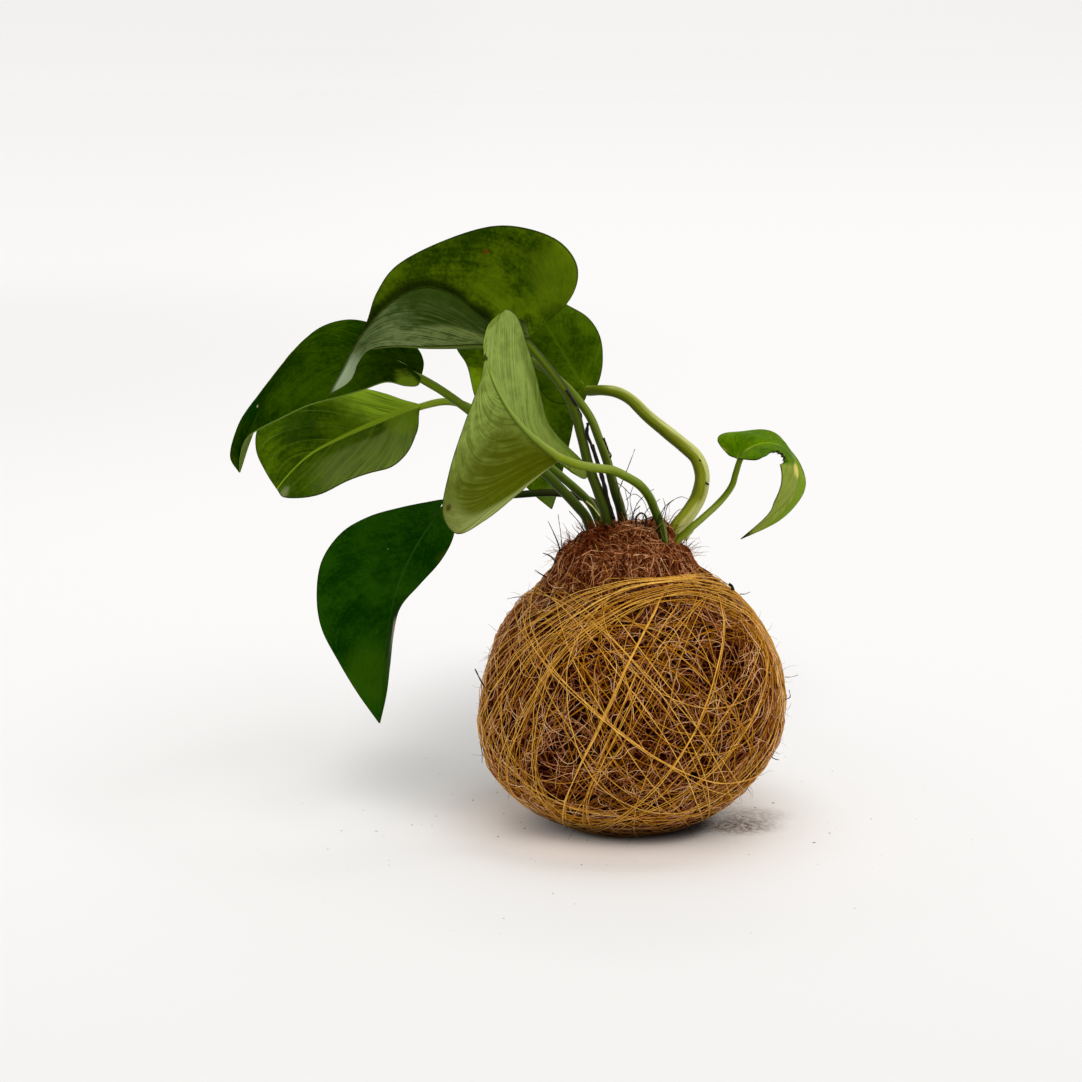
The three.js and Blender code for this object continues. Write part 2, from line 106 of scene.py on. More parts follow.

# Painted shadows and painted light on the floor, as darker and paler parts: the centre, how much
# flatter it is from front to back, where it begins to fade and where it ends, and its tone as a share
# of the floor's
PAINTED_FLOOR_SHADES = [
    ((-45, 115), 0.45, 5, 75, 0.72), ((-122, 22), 1.0, 18, 82, 1.09), ((-62, -8), 1.0, 8, 30, 1.08),
    ((-88, 60), 0.7, 4, 38, 0.9), ((0, -75), 1.0, 20, 90, 0.96), ((48, 190), 0.6, 10, 60, 0.95),
    ((-480, 1250), 0.9, 100, 750, 0.95),
]

# The ball: as the solids have it, but for a slimmer shoulder
BALL_RADIUS = 55
WIDEST_Z = 41
LOWER_HEIGHT = 43
SHOULDER = [
    (55, 41), (54, 54), (49.5, 68.5), (42.6, 79), (34.4, 86.5), (27.4, 92.5), (24.6, 97), (22.8, 101),
]
RIM_RADIUS = 23
RIM_Z = 103
RIM_ROUND = 1.2
MOUTH_RADIUS = 19.5
MOUND = [(18.5, 103.5), (16, 107), (9.5, 110.7), (0, 112)]
MOUND_LEAN = 0.22
NECK_Z = 96
LIFT_START_Z = 92
RIM_LIFT_LEFT = 2
RIM_LIFT_FRONT = 1

# How far the ball leans sideways: the height, and how far to the right it lies there
SIDEWAYS = [(0, 0), (10, -1.2), (22, -1.6), (35, 0), (48, 1.5), (60, 1.8), (70, 1), (80, 1), (87, 0.8),
            (92, -0.8), (98, -1.5)]

# Heaps and hollows at the neck: the place, how far it reaches and how high it stands, and the height
# at which they come in
HEAPS = [((13, -2), 6.5, 6), ((-10, -16), 4, -2), ((-13, 3), 12, -5.5)]
HEAPS_START_Z = 97

# How far the coir swells in and out, the height of the centre that directions are taken from, the
# surface's rough distance from it, how often a seen place is settled on the surface, and the gap
# between the soil and the wall of the mouth
RELIEF = 0.6
CENTRE_Z = 45
MEAN_RADIUS = 50
SETTLE_STEPS = 6
SOIL_GAP = 0.45

# Each leaf is held by three curves from its base to its tip: the midrib, and the margins on the
# left and right of it as seen from the glossy upper face. The bulges lift each half between them.
LEAVES = {
    "top": {
        "rib": [(-36, 0, 178.5), (-51, -5, 177), (-71, -9, 176.5), (-85, -16, 177.5), (-91.5, -20, 176.5),
                (-95.5, -23, 172), (-98, -25, 166.5), (-105, -27, 162)],
        "left": [(-38, -14, 185.5), (-44.5, -26, 188), (-50.5, -34, 189), (-60, -39, 197), (-69.5, -40, 200),
                 (-78, -38, 198), (-85.5, -33, 192.5), (-91.5, -29, 185), (-96.5, -27, 177.5),
                 (-100.5, -27, 170)],
        "right": [(-22.5, 5, 190), (-19, 9, 201), (-24.5, 12, 210), (-36, 12, 215), (-50, 11, 216),
                  (-67.5, 8, 211), (-82.5, 2, 203.5), (-89.5, -5, 194.5), (-92.5, -11, 185.5),
                  (-95.5, -18, 177), (-97, -23, 169)],
        "bulge": (-0.06, -0.08),
    },
    "front": {
        "rib": [(-25.5, -38, 141), (-33.5, -46, 148.5), (-41, -51, 157), (-46, -54, 166), (-49.5, -54, 173.5),
                (-51, -52, 181.5), (-49.5, -50, 188.5), (-45.5, -48, 192.5)],
        "left": [(-21, -34, 136), (-16.5, -29, 133), (-17.5, -28, 138), (-23.5, -31, 145), (-29, -35, 153),
                 (-32, -38, 162.5), (-34.5, -40, 173), (-37, -42, 182.5), (-39.5, -44, 190),
                 (-43, -46, 193.5)],
        "right": [(-30.5, -40, 137.5), (-41, -46, 130), (-51, -52, 123), (-60, -56, 119), (-65, -60, 127),
                  (-62.5, -62, 142), (-58, -62, 155.5), (-53.5, -59, 167.5), (-50.5, -54, 175.5),
                  (-49, -48, 183.5)],
        "bulge": (0.05, 0.05),
    },
    "left": {
        "rib": [(-74.5, 4, 163.5), (-82, 4, 169), (-92, 3, 172), (-103, 3, 172.5), (-114, 4, 171.5),
                (-123, 6, 167), (-129.5, 8, 159), (-134.5, 10, 145), (-138, 12, 136), (-141, 13, 127)],
        "left": [(-75.5, -2, 161.5), (-80, -6, 161.5), (-86.5, -10, 163.5), (-94.5, -13, 161.5),
                 (-104, -14, 158.5), (-113.5, -13, 155.5), (-122.5, -11, 151.5), (-130.5, -6, 147),
                 (-136.5, 1, 141.5), (-140, 8, 134)],
        "right": [(-74, 10, 168), (-77.5, 18, 172.5), (-85, 24, 176.5), (-94, 27, 180), (-103, 28, 180.5),
                  (-113, 27, 177.5), (-121, 24, 171), (-128, 20, 161), (-135.5, 18, 152.5), (-141.5, 16, 144),
                  (-144.5, 14, 133.5)],
        "bulge": (0.05, 0.05),
    },
    "left_low": {
        "rib": [(-76, 24, 150.5), (-83.5, 24, 147.5), (-92.5, 24, 143.5), (-103.5, 25, 138.5),
                (-115, 26, 132.5), (-123, 27, 125.5), (-129, 26, 118.5)],
        "left": [(-76.5, 20, 146.5), (-77, 14, 141.5), (-79.5, 9, 135.5), (-85, 6, 131.5), (-92.5, 5, 129),
                 (-101.5, 6, 125), (-111, 10, 120.5), (-120.5, 16, 117.5), (-126, 21, 116.5)],
        "right": [(-82, 28, 151.5), (-89.5, 32, 153), (-97, 36, 154.5), (-107, 40, 155), (-118.5, 42, 153.5),
                  (-129, 42, 148.5), (-136.5, 38, 140.5), (-137, 34, 132.5), (-133.5, 30, 124.5)],
        "bulge": (0.05, 0.05),
    },
    "hanging": {
        "rib": [(-68.5, 12, 115), (-72, 10, 109), (-77, 7, 101.5), (-82, 5, 92), (-85.5, 3, 81.5),
                (-88, 2, 67.5), (-90.5, 3, 50.5), (-91, 4, 35.5)],
        "left": [(-64.5, 10, 113), (-63.5, 8, 105.5), (-68, 6, 96.5), (-76, 5, 87.5), (-83, 6, 79),
                 (-86, 8, 69), (-87, 7, 57.5), (-88.5, 5, 46.5)],
        "right": [(-67.5, 15, 117), (-74, 15, 116), (-84, 14, 114), (-94.5, 11, 111.5), (-104, 7, 106.5),
                  (-111, 4, 97), (-113, 2, 85), (-111.5, 1, 72.5), (-105.5, 1, 60), (-98.5, 3, 47)],
        "bulge": (0.04, 0.06),
    },
    "back": {
        "rib": [(-15, 26, 154.5), (-19, 28, 160.5), (-24, 31, 168.5), (-29.5, 34, 177), (-34.5, 37, 185),
                (-38, 39, 192.5)],
        "left": [(-17, 28, 150.5), (-22, 27, 150), (-28, 27, 151), (-32, 28.5, 154.5), (-34.5, 31.5, 160.5),
                 (-37, 35, 168), (-38, 37, 176.5), (-38.5, 38.5, 185.5)],
        "right": [(-11.5, 30, 156.5), (-9.5, 32, 165), (-10.5, 34, 174), (-15.5, 38, 181), (-23.5, 41, 185.5),
                  (-30.5, 41, 189.5)],
        "bulge": (0.05, 0.05),
    },
    "rear": {
        "rib": [(-44.5, 41, 167.5), (-43, 46, 156), (-40, 50, 144.5), (-36, 51, 131), (-32, 49, 118),
                (-28, 46, 107)],
        "left": [(-40, 41, 170), (-31.5, 42, 167), (-24.5, 43, 159), (-20, 44, 149), (-20, 45, 140.5),
                 (-21.5, 46, 131.5), (-24, 47, 122), (-26, 47, 113)],
        "right": [(-48.5, 39, 171), (-54.5, 38, 174.5), (-61, 38, 173.5), (-63, 38, 169), (-59.5, 40, 162.5),
                  (-57, 43, 151), (-52, 46, 138), (-45.5, 48, 125), (-36, 48, 113.5)],
        "bulge": (0.05, 0.05),
    },
    "small": {
        "rib": [(37.5, -4, 135.5), (42.5, -4, 139.5), (48, -4, 141), (53.5, -4, 139.5), (57.5, -5, 135),
                (59, -6, 129), (57, -7, 123.5), (53, -8, 119), (47, -9, 114), (38.5, -8, 107)],
        "left": [(34.5, 2, 136), (31, 6, 140), (33.5, 8, 142.5), (40, 8, 143.5), (47, 7, 144),
                 (52, 5, 142.5), (56.5, 3, 138), (60.5, 1, 132.5), (62, -1, 126), (59, -3, 119.5),
                 (52, -6, 113)],
        "right": [(38.5, -9, 136), (43, -14, 137), (46.5, -16, 138.5), (50, -16, 137.5), (52, -16, 134.5),
                  (52, -15, 129), (50, -13, 122), (48, -11, 116.5)],
        "bulge": (0.05, 0.05),
    },
}

# Each stem runs from its root end in the soil to the base of its leaf
STEMS = {
    "vine_stem": {
        "leaf": "back",
        "radii": (3.3, 1.85),
        "path": [(12.5, 2, 92), (14, 2.5, 103), (16.5, 3, 108.5), (20.5, 4, 113.5), (24, 5, 119),
                 (25.5, 5, 124.5), (25.5, 6, 129), (23.5, 7, 134), (19, 9, 138), (13, 12, 142.5),
                 (6.5, 15, 147.5), (0.5, 18, 153), (-4.5, 20, 155.5), (-9.5, 22, 156)],
    },
    "petiole_top": {
        "leaf": "top",
        "radii": (2.3, 1.5),
        "path": [(-6, -3, 91), (-6.5, -3, 103), (-9, -3, 116), (-11.5, -3, 123), (-15, -3, 132.5),
                 (-17.5, -3, 142.5), (-21, -2, 154.5), (-27, -1, 164)],
    },
    "petiole_rear": {
        "leaf": "rear",
        "radii": (2, 1.2),
        "path": [(-1, 3, 91), (-1.5, 3, 104), (-3.5, 4, 115.5), (-5.5, 4, 122), (-8.5, 6, 133),
                 (-11.5, 8, 141), (-14, 11, 147), (-17.5, 14, 152), (-23, 18, 158), (-29, 22, 162.5),
                 (-34.5, 26, 165.5), (-40, 33, 167.5)],
    },
    "petiole_front": {
        "leaf": "front",
        "radii": (1.7, 1.5),
        "path": [(11, -8.5, 91), (11.5, -9, 103), (10.5, -9.5, 112), (8, -11, 118.5), (6, -14, 123.5),
                 (2.5, -18, 128.5), (-2.5, -23, 132.5), (-7.5, -27, 135.5), (-14, -33, 137.5),
                 (-20, -40, 140)],
    },
    "petiole_left": {
        "leaf": "left",
        "radii": (2.1, 1.5),
        "path": [(-12.5, 4, 91), (-13, 4, 104), (-15.5, 4.5, 112), (-18.5, 5, 116), (-24, 5, 122),
                 (-32.5, 5, 130.5), (-45, 5, 141.5), (-59, 4, 152.5), (-68, 4, 159)],
    },
    "petiole_left_low": {
        "leaf": "left_low",
        "radii": (1.8, 1.3),
        "path": [(-8.5, 9.5, 91), (-9.5, 9.5, 104), (-11.5, 10, 111), (-14.5, 12, 116.5),
                 (-21, 14, 122.5), (-30.5, 17, 130), (-45, 21, 141.5), (-58, 23, 149.5),
                 (-67, 24, 151.5)],
    },
    "petiole_hanging": {
        "leaf": "hanging",
        "radii": (1.5, 1.2),
        "path": [(-3, 13, 91), (-4, 13.5, 104), (-7.5, 15, 111), (-12, 17, 115), (-18, 18, 117.5),
                 (-29, 17.5, 119), (-43.5, 15.5, 118.5), (-58, 13.5, 118)],
    },
    "petiole_small": {
        "leaf": "small",
        "radii": (1.5, 1.1),
        "path": [(13, -4.5, 93), (14.5, -4.5, 103), (20, -5, 109.5), (25, -5, 114), (31.5, -4, 120),
                 (35.5, -4, 125.5), (37, -4, 130.5)],
    },
}

# Blades: the thickness, the points along and across, the share that is left off at both ends, the
# power that leads the midrib ahead of the margins, the shares between which the upward direction is
# taken from the curves, the groove of the midrib, the height of the puckers, the number of side
# veins, the places along a fold, and the colours of the margin and of torn places
BLADE_THICKNESS = 0.5
BLADE_ROWS = 121
BLADE_COLUMNS = 59
BLADE_END = 0.004
RIB_LEAD = 1.3
LOBE_END = 0.3
TIP_START = 0.95
RIB_GROOVE = 0.3
RIB_GROOVE_WIDTH = 0.8
PUCKER = 0.2
VEINS = 8
FOLD_STEPS = 32
RIM_PAINT = (26, 32, 2)
TORN_PAINT = (22, 16, 6)

# Stems: the shares of the midrib under which the ridge goes on and its last radius, the direction of
# the side with painted light, the corners of the tube and the length of its steps, how deep and wide
# the channel on its upper side is, and where on the scale of its colours the leaf begins
RIB_SHARES = (0.03, 0.1, 0.2, 0.32, 0.46, 0.6, 0.72)
RIB_END_RADIUS = 0.22
PAINTED_LIGHT_SIDE = np.array([0.8, -0.15, 0.6])
STALK_SIDES = 20
STALK_STEP = 1.2
CHANNEL_DEPTH = 0.16
CHANNEL_WIDTH = 0.45
LEAF_SHARE = 0.66


def unit(v):
    """Vectors of an array, each divided by its length."""
    return v / np.maximum(np.linalg.norm(v, axis=-1, keepdims=True), 1e-9)


def mixed(a, b, share):
    """a and b, mixed by a share that is 0 for a and 1 for b."""
    return a + (b - a) * share


def eased(low, high, value):
    """0 below low and 1 above high, with an S-shaped rise in between."""
    share = np.clip((value - low) / (high - low), 0, 1)
    return share * share * (3 - 2 * share)


def curve(points, share):
    """Points on the Catmull-Rom curve through the given points, which are taken at even shares of
    its run. Each span is a cubic whose slope at a point is half the way between its neighbours,
    and the ends are carried on straight."""
    p = np.asarray(points, float)
    p = np.vstack([2 * p[0] - p[1], p, 2 * p[-1] - p[-2]])
    run = np.clip(share, 0, 1) * (len(p) - 3)
    i = np.minimum(run.astype(int), len(p) - 4)
    f = (run - i)[..., None]
    a, b, c, d = p[i], p[i + 1], p[i + 2], p[i + 3]
    return 0.5 * (2 * b + (c - a) * f + (2 * a - 5 * b + 4 * c - d) * f**2 + (3 * b - a - 3 * c + d) * f**3)


def even_curve(points, share):
    """The same curve, with the shares taken along its length: the run at each share is looked up in
    the summed lengths of its short chords."""
    fine = np.linspace(0, 1, 50 * len(points))
    chords = np.linalg.norm(np.diff(curve(points, fine), axis=0), axis=1)
    length = np.concatenate([[0], np.cumsum(chords)])
    return curve(points, np.interp(share, length / length[-1], fine))


def curve_length(points):
    """Length of the curve through the points, as the sum of its short chords."""
    fine = curve(points, np.linspace(0, 1, 50 * len(points)))
    return np.linalg.norm(np.diff(fine, axis=0), axis=1).sum()


def ripple(place, size, seed, waves=7):
    """A smooth random height from -1 to 1 at each place: the mean of a few sine waves that run in
    random directions, with lengths around the given size."""
    rng = np.random.default_rng(seed)
    ways = unit(rng.normal(size=(waves, 3))) * rng.uniform(0.7, 1.5, (waves, 1))
    phases = rng.uniform(0, 2 * np.pi, waves)
    return np.sin(place @ ways.T * (2 * np.pi / size) + phases).mean(-1) * 1.6


def grid_faces(rows, columns, around=False):
    """Quads of a grid of points that are numbered row by row. With around, the last column is
    joined to the first."""
    r = np.arange(rows - 1)[:, None]
    c = np.arange(columns if around else columns - 1)[None, :]
    nxt = (c + 1) % columns
    corners = [r * columns + c, r * columns + nxt, (r + 1) * columns + nxt, (r + 1) * columns + c]
    return np.stack(corners, -1).reshape(-1, 4)


def put(name, points, faces, finish, slot, replaces=(), tags=None, uv=None):
    """Makes a piece of the object from whole arrays: points in millimetres, faces as one array for
    each count of corners, and named values at the points that its finish reads."""
    mesh = bpy.data.meshes.new(name)
    points = np.asarray(points, np.float32).reshape(-1, 3) * MM
    counts = np.concatenate([np.full(len(f), f.shape[1]) for f in faces])
    corners = np.concatenate([f.ravel() for f in faces]).astype(np.int32)
    mesh.vertices.add(len(points))
    mesh.vertices.foreach_set("co", points.ravel())
    mesh.loops.add(len(corners))
    mesh.loops.foreach_set("vertex_index", corners)
    mesh.polygons.add(len(counts))
    starts = np.concatenate([[0], np.cumsum(counts)[:-1]])
    mesh.polygons.foreach_set("loop_start", starts.astype(np.int32))
    mesh.polygons.foreach_set("loop_total", counts.astype(np.int32))
    mesh.polygons.foreach_set("use_smooth", np.ones(len(counts), bool))
    mesh.update(calc_edges=True)
    for tag, values in (tags or {}).items():
        values = np.asarray(values, np.float32)
        vector = values.ndim > 1 and values.shape[-1] == 3
        made = mesh.attributes.new(tag, "FLOAT_VECTOR" if vector else "FLOAT", "POINT")
        made.data.foreach_set("vector" if vector else "value", values.ravel())
    if uv is not None:
        layer = mesh.uv_layers.new(name="UVMap")
        layer.data.foreach_set("uv", np.asarray(uv, np.float32).reshape(-1, 2)[corners].ravel())
    mesh.validate()
    mesh.materials.append(finish)
    piece = bpy.data.objects.new(name, mesh)
    bpy.context.scene.collection.objects.link(piece)
    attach(piece, "root")
    if replaces:
        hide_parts(*replaces)
    return piece


def paint(red, green, blue):
    """A colour in the light's own linear scale from one as a screen shows it, from 0 to 255."""
    shown = np.array([red, green, blue]) / 255
    light = np.where(shown <= 0.04045, shown / 12.92, ((shown + 0.055) / 1.055) ** 2.4)
    return (*light.tolist(), 1)


class Finish:
    """A procedural material, with short calls for the shader nodes that it is made of."""

    def __init__(self, name):
        self.material = bpy.data.materials.new(name)
        self.material.use_nodes = True
        self.tree = self.material.node_tree
        self.surface = self.tree.nodes["Principled BSDF"]

    def node(self, kind, inputs=None, **settings):
        made = self.tree.nodes.new("ShaderNode" + kind)
        for key, value in settings.items():
            setattr(made, key, value)
        for key, value in (inputs or {}).items():
            self.feed(made.inputs[key], value)
        return made

    def feed(self, socket, value):
        if isinstance(value, bpy.types.NodeSocket):
            self.tree.links.new(value, socket)
        else:
            socket.default_value = value

    def place(self):
        return self.node("TexCoord").outputs["Object"]

    def tag(self, name, kind="Fac"):
        return self.node("Attribute", attribute_name=name).outputs[kind]

    def math(self, operation, a, b=0.0):
        return self.node("Math", {0: a, 1: b}, operation=operation).outputs[0]

    def times(self, first, *others):
        """The product of some numbers."""
        for other in others:
            first = self.math("MULTIPLY", first, other)
        return first

    def about(self, value, scale):
        """How far a noise is from its middle value of a half, times a scale."""
        return self.times(self.math("SUBTRACT", value, 0.5), scale)

    def plus(self, first, *others):
        """The sum of some numbers."""
        for other in others:
            first = self.math("ADD", first, other)
        return first

    def distance(self, place, spot):
        """The distance from a place to a spot that is given in metres."""
        return self.node("VectorMath", {0: place, 1: spot}, operation="DISTANCE").outputs["Value"]

    def rise(self, value, low, high, start=0.0, end=1.0):
        """start below low and end above high, with an S-shaped change between them."""
        keys = {"Value": value, "From Min": low, "From Max": high, "To Min": start, "To Max": end}
        return self.node("MapRange", keys, interpolation_type="SMOOTHSTEP").outputs["Result"]

    def join(self, x, y, z):
        return self.node("CombineXYZ", {"X": x, "Y": y, "Z": z}).outputs[0]

    def noise(self, place, scale, detail=2.0, roughness=0.5):
        keys = {"Vector": place, "Scale": scale, "Detail": detail, "Roughness": roughness}
        return self.node("TexNoise", keys).outputs[0]

    def mix(self, share, a, b, blend="MIX"):
        made = self.node("Mix", {0: share, 6: a, 7: b}, data_type="RGBA", blend_type=blend)
        return made.outputs[2]

    def ramp(self, value, stops):
        made = self.node("ValToRGB", {"Fac": value})
        elements = made.color_ramp.elements
        elements[0].position, elements[0].color = stops[0]
        elements[1].position, elements[1].color = stops[-1]
        for position, colour in stops[1:-1]:
            elements.new(position).color = colour
        return made.outputs["Color"]

    def bump(self, height, distance_mm, strength=1.0):
        keys = {"Height": height, "Distance": distance_mm * MM, "Strength": strength}
        return self.node("Bump", keys).outputs[0]

    def done(self, colour, roughness, normal=None, **fixed):
        self.feed(self.surface.inputs["Base Color"], colour)
        self.feed(self.surface.inputs["Roughness"], roughness)
        if normal is not None:
            self.feed(self.surface.inputs["Normal"], normal)
        for key, value in fixed.items():
            self.surface.inputs[key.replace("_", " ")].default_value = value
        return self.material


# How each leaf looks. All colours are as a screen shows them.
# dark, light: the two greens that the upper face is mottled with
# vein, rib, under_rib: the side veins and the midrib, and the midrib on the lower face
# under_dark, under_light, under_far: the lower face's streaks, and its tone near the base and the tip
# sweep: how far the side veins run forward on their way to the margin
# streaks: how far the upper face is streaked and not mottled, and how strong the lower one's are
# wave, seed: how high the margin waves, and where its waves and the noises start
# rib_wide, shown: the midrib's width, and how much is seen of pale veins, dark lines and the midrib
# edge, front_edge: how wide the dark margin is, and the colour of the left margin's edge
# rim: where the lower face darkens towards the margin, and by how much
# gloss: how strongly it shines
# halves: the side of the midrib, the share outwards where the part starts, the shares along the blade
# between which it lies, its colour on the upper and on the lower face, and its strength
# patches: the face (0 upper, 1 lower), a place, a radius, a colour and a strength
# shade: places along the fold, in the photograph's pixels, where painted shadow makes the upper face darkest
# bites: the side of the margin, the share along it, and the bite's half width and depth as shares
# turned: the shares along the blade between which the upper face takes on the lower one's look
LEAF_LOOKS = {
    "top": {
        "dark": (20, 44, 0), "light": (80, 102, 4), "vein": (76, 96, 10), "rib": (66, 86, 8),
        "under_dark": (34, 56, 0), "under_light": (124, 142, 66), "under_far": (130, 150, 92),
        # its dark margin is wider, partly as painted shadow along the fold's margin
        "sweep": 0.7, "edge": 1.0, "rim": (2, 14, 0.8), "streaks": (0.4, 0.8), "wave": 0.4, "seed": 3,
        "halves": [(1, 0.4, (0.08, 0.6), (None, (44, 66, 8)), 1.0)],
        "shade": [
            (362, 330), (372, 317), (383, 306), (395, 296), (404, 291), (414, 287), (424, 285.5),
            (434, 285.5), (444, 289), (453, 294), (461, 301), (469, 308), (477, 315), (486, 319),
        ],
        "patches": [
            (0, (-51.6, 9.7, 207.4), 1.4, (104, 58, 10), 1.0), (0, (-24, 9, 199), 17, (92, 112, 10), 0.6),
            (1, (-99, -25, 168), 11, (160, 176, 140), 0.9), (0, (-58, 10, 212), 10, (34, 56, 2), 0.4),
            # painted shadow on the upper face just behind the fold's margin
            (0, (-51, -1, 186), 7, (10, 26, 0), 0.6),
        ],
    },
    "front": {
        "dark": (40, 62, 4), "light": (72, 94, 6), "vein": (84, 104, 16), "rib": (130, 148, 26),
        "under_dark": (66, 76, 0), "under_light": (104, 118, 22), "under_far": (142, 162, 76),
        "sweep": 0.5, "streaks": (0.5, 0.6), "wave": 0.3, "seed": 11,
        "halves": [
            (1, 0.0, (-1, 0.9), (None, (130, 150, 78)), 0.4),
            (-1, 0.0, (-1, 0.52), (None, (70, 76, 0)), 0.9),
            (-1, 0.0, (0.66, 1.2), ((128, 148, 66), None), 1.0),
            (1, 0.76, (0.26, 0.74), (None, (84, 104, 32)), 1.0),
            (-1, 0.76, (-1, 0.42), (None, (148, 158, 90)), 1.0),
        ],
        "patches": [
            (1, (-63.1, -58.5, 128.6), 1.6, (58, 46, 6), 0.9), (1, (-60, -57, 119), 4, (128, 138, 66), 0.5),
            (0, (-50.5, -53, 178), 2, (40, 52, 4), 1.0), (1, (-50.5, -53, 178), 1.2, (40, 52, 4), 1.0),
        ],
    },
    "left": {
        "dark": (10, 36, 0), "light": (46, 71, 0), "vein": (50, 74, 4), "rib": (28, 52, 0),
        "under_dark": (80, 98, 26), "under_light": (120, 138, 66), "under_far": (120, 138, 66),
        "sweep": 0.36, "streaks": (0.5, 0.6), "wave": 0.4, "seed": 17,
        "gloss": 0.0, "front_edge": (104, 126, 50),
        "patches": [
            # the second patch is painted shade on the far half past the bend
            (0, (-133.5, 10.5, 151.9), 0.9, (196, 206, 150), 0.9), (0, (-136, 16, 152), 9, (8, 48, 2), 0.8),
            (1, (-138, 3, 138), 7, (118, 136, 82), 0.7), (0, (-78, -5, 163), 7, (122, 148, 30), 1.0),
        ],
    },
    "left_low": {
        "dark": (40, 68, 0), "light": (88, 116, 6), "vein": (122, 148, 48), "rib": (156, 184, 40),
        "under_dark": (90, 110, 30), "under_light": (130, 148, 76), "under_far": (130, 148, 76),
        "sweep": 0.34, "streaks": (0.6, 0.6), "wave": 0.7, "seed": 23,
        "rib_wide": 2.0, "shown": (0.6, 0.2, 0.95),
        "halves": [
            (-1, 0.0, (-1, 0.42), ((168, 202, 48), None), 1.0),
            (1, 0.25, (0.2, 0.7), ((134, 152, 72), None), 0.6),
        ],
        "patches": [
            (0, (-82, 20, 145), 9, (140, 170, 36), 0.5), (0, (-126, 21, 119), 3.2, (140, 152, 90), 0.8),
            (0, (-120, 33, 140), 12, (28, 60, 6), 0.6),
        ],
    },
    "hanging": {
        "dark": (2, 40, 0), "light": (30, 70, 2), "vein": (34, 74, 10), "rib": (36, 78, 20),
        "under_dark": (100, 112, 50), "under_light": (140, 152, 96), "under_far": (150, 158, 100),
        "sweep": 0.36, "streaks": (0.45, 0.6), "wave": 0.3, "seed": 29,
        "rib_wide": 0.6, "shown": (0.2, 0.3, 0.6),
        "halves": [(1, 0.45, (0.62, 0.68), ((220, 214, 170), (220, 214, 170)), 1.0)],
        "patches": [
            # the three small pale spots here are painted highlights
            (0, (-87.3, 5.8, 100.6), 0.5, (110, 150, 90), 0.9),
            (0, (-105, 3.1, 95.9), 0.5, (90, 130, 66), 0.8), (0, (-98, 4, 93), 0.4, (90, 130, 66), 0.8),
            (0, (-94, 2, 55), 14, (50, 86, 4), 0.6), (0, (-66, 7, 96), 5, (64, 80, 8), 0.6),
        ],
    },
    "back": {
        "dark": (34, 57, 0), "light": (72, 98, 3), "vein": (66, 90, 8), "rib": (78, 102, 8),
        "under_dark": (74, 92, 24), "under_light": (112, 130, 56), "under_far": (112, 130, 56),
        "sweep": 0.3, "streaks": (0.5, 0.6), "wave": 0.4, "seed": 31,
    },
    "rear": {
        "dark": (42, 68, 1), "light": (92, 122, 5), "vein": (90, 116, 14), "rib": (96, 120, 14),
        "under_dark": (86, 104, 30), "under_light": (124, 142, 70), "under_far": (124, 142, 70),
        "sweep": 0.3, "streaks": (0.5, 0.6), "wave": 0.5, "seed": 37,
        "patches": [
            (0, (-58.4, 41.4, 156), 8, (140, 172, 20), 1.0), (0, (-27, 46, 112), 6, (104, 126, 52), 0.7),
        ],
    },
    "small": {
        "dark": (60, 95, 0), "light": (100, 134, 2), "vein": (116, 144, 14), "rib": (132, 160, 26),
        "under_dark": (98, 118, 22), "under_light": (140, 154, 62), "under_far": (140, 154, 62),
        "sweep": 0.36, "streaks": (0.5, 0.5), "wave": 0.3, "seed": 41, "under_rib": (84, 106, 20),
        "halves": [(1, 0.3, (0.5, 0.95), (None, (98, 134, 6)), 0.75)],
        "patches": [
            (0, (57.5, -7, 131.5), 3.4, (226, 206, 104), 1.0), (0, (39.5, -8, 108), 5, (34, 44, 8), 1.0),
            (1, (39.5, -8, 108), 5, (34, 44, 8), 1.0),
        ],
        "bites": [(-1, 0.43, 0.09, 0.3)], "turned": (0.5, 0.54),
    },
}


# How much is seen of pale side veins, of the dark line in each and of the midrib, unless a leaf's
# look says otherwise
SHOWN = (0.25, 0.45, 0.6)


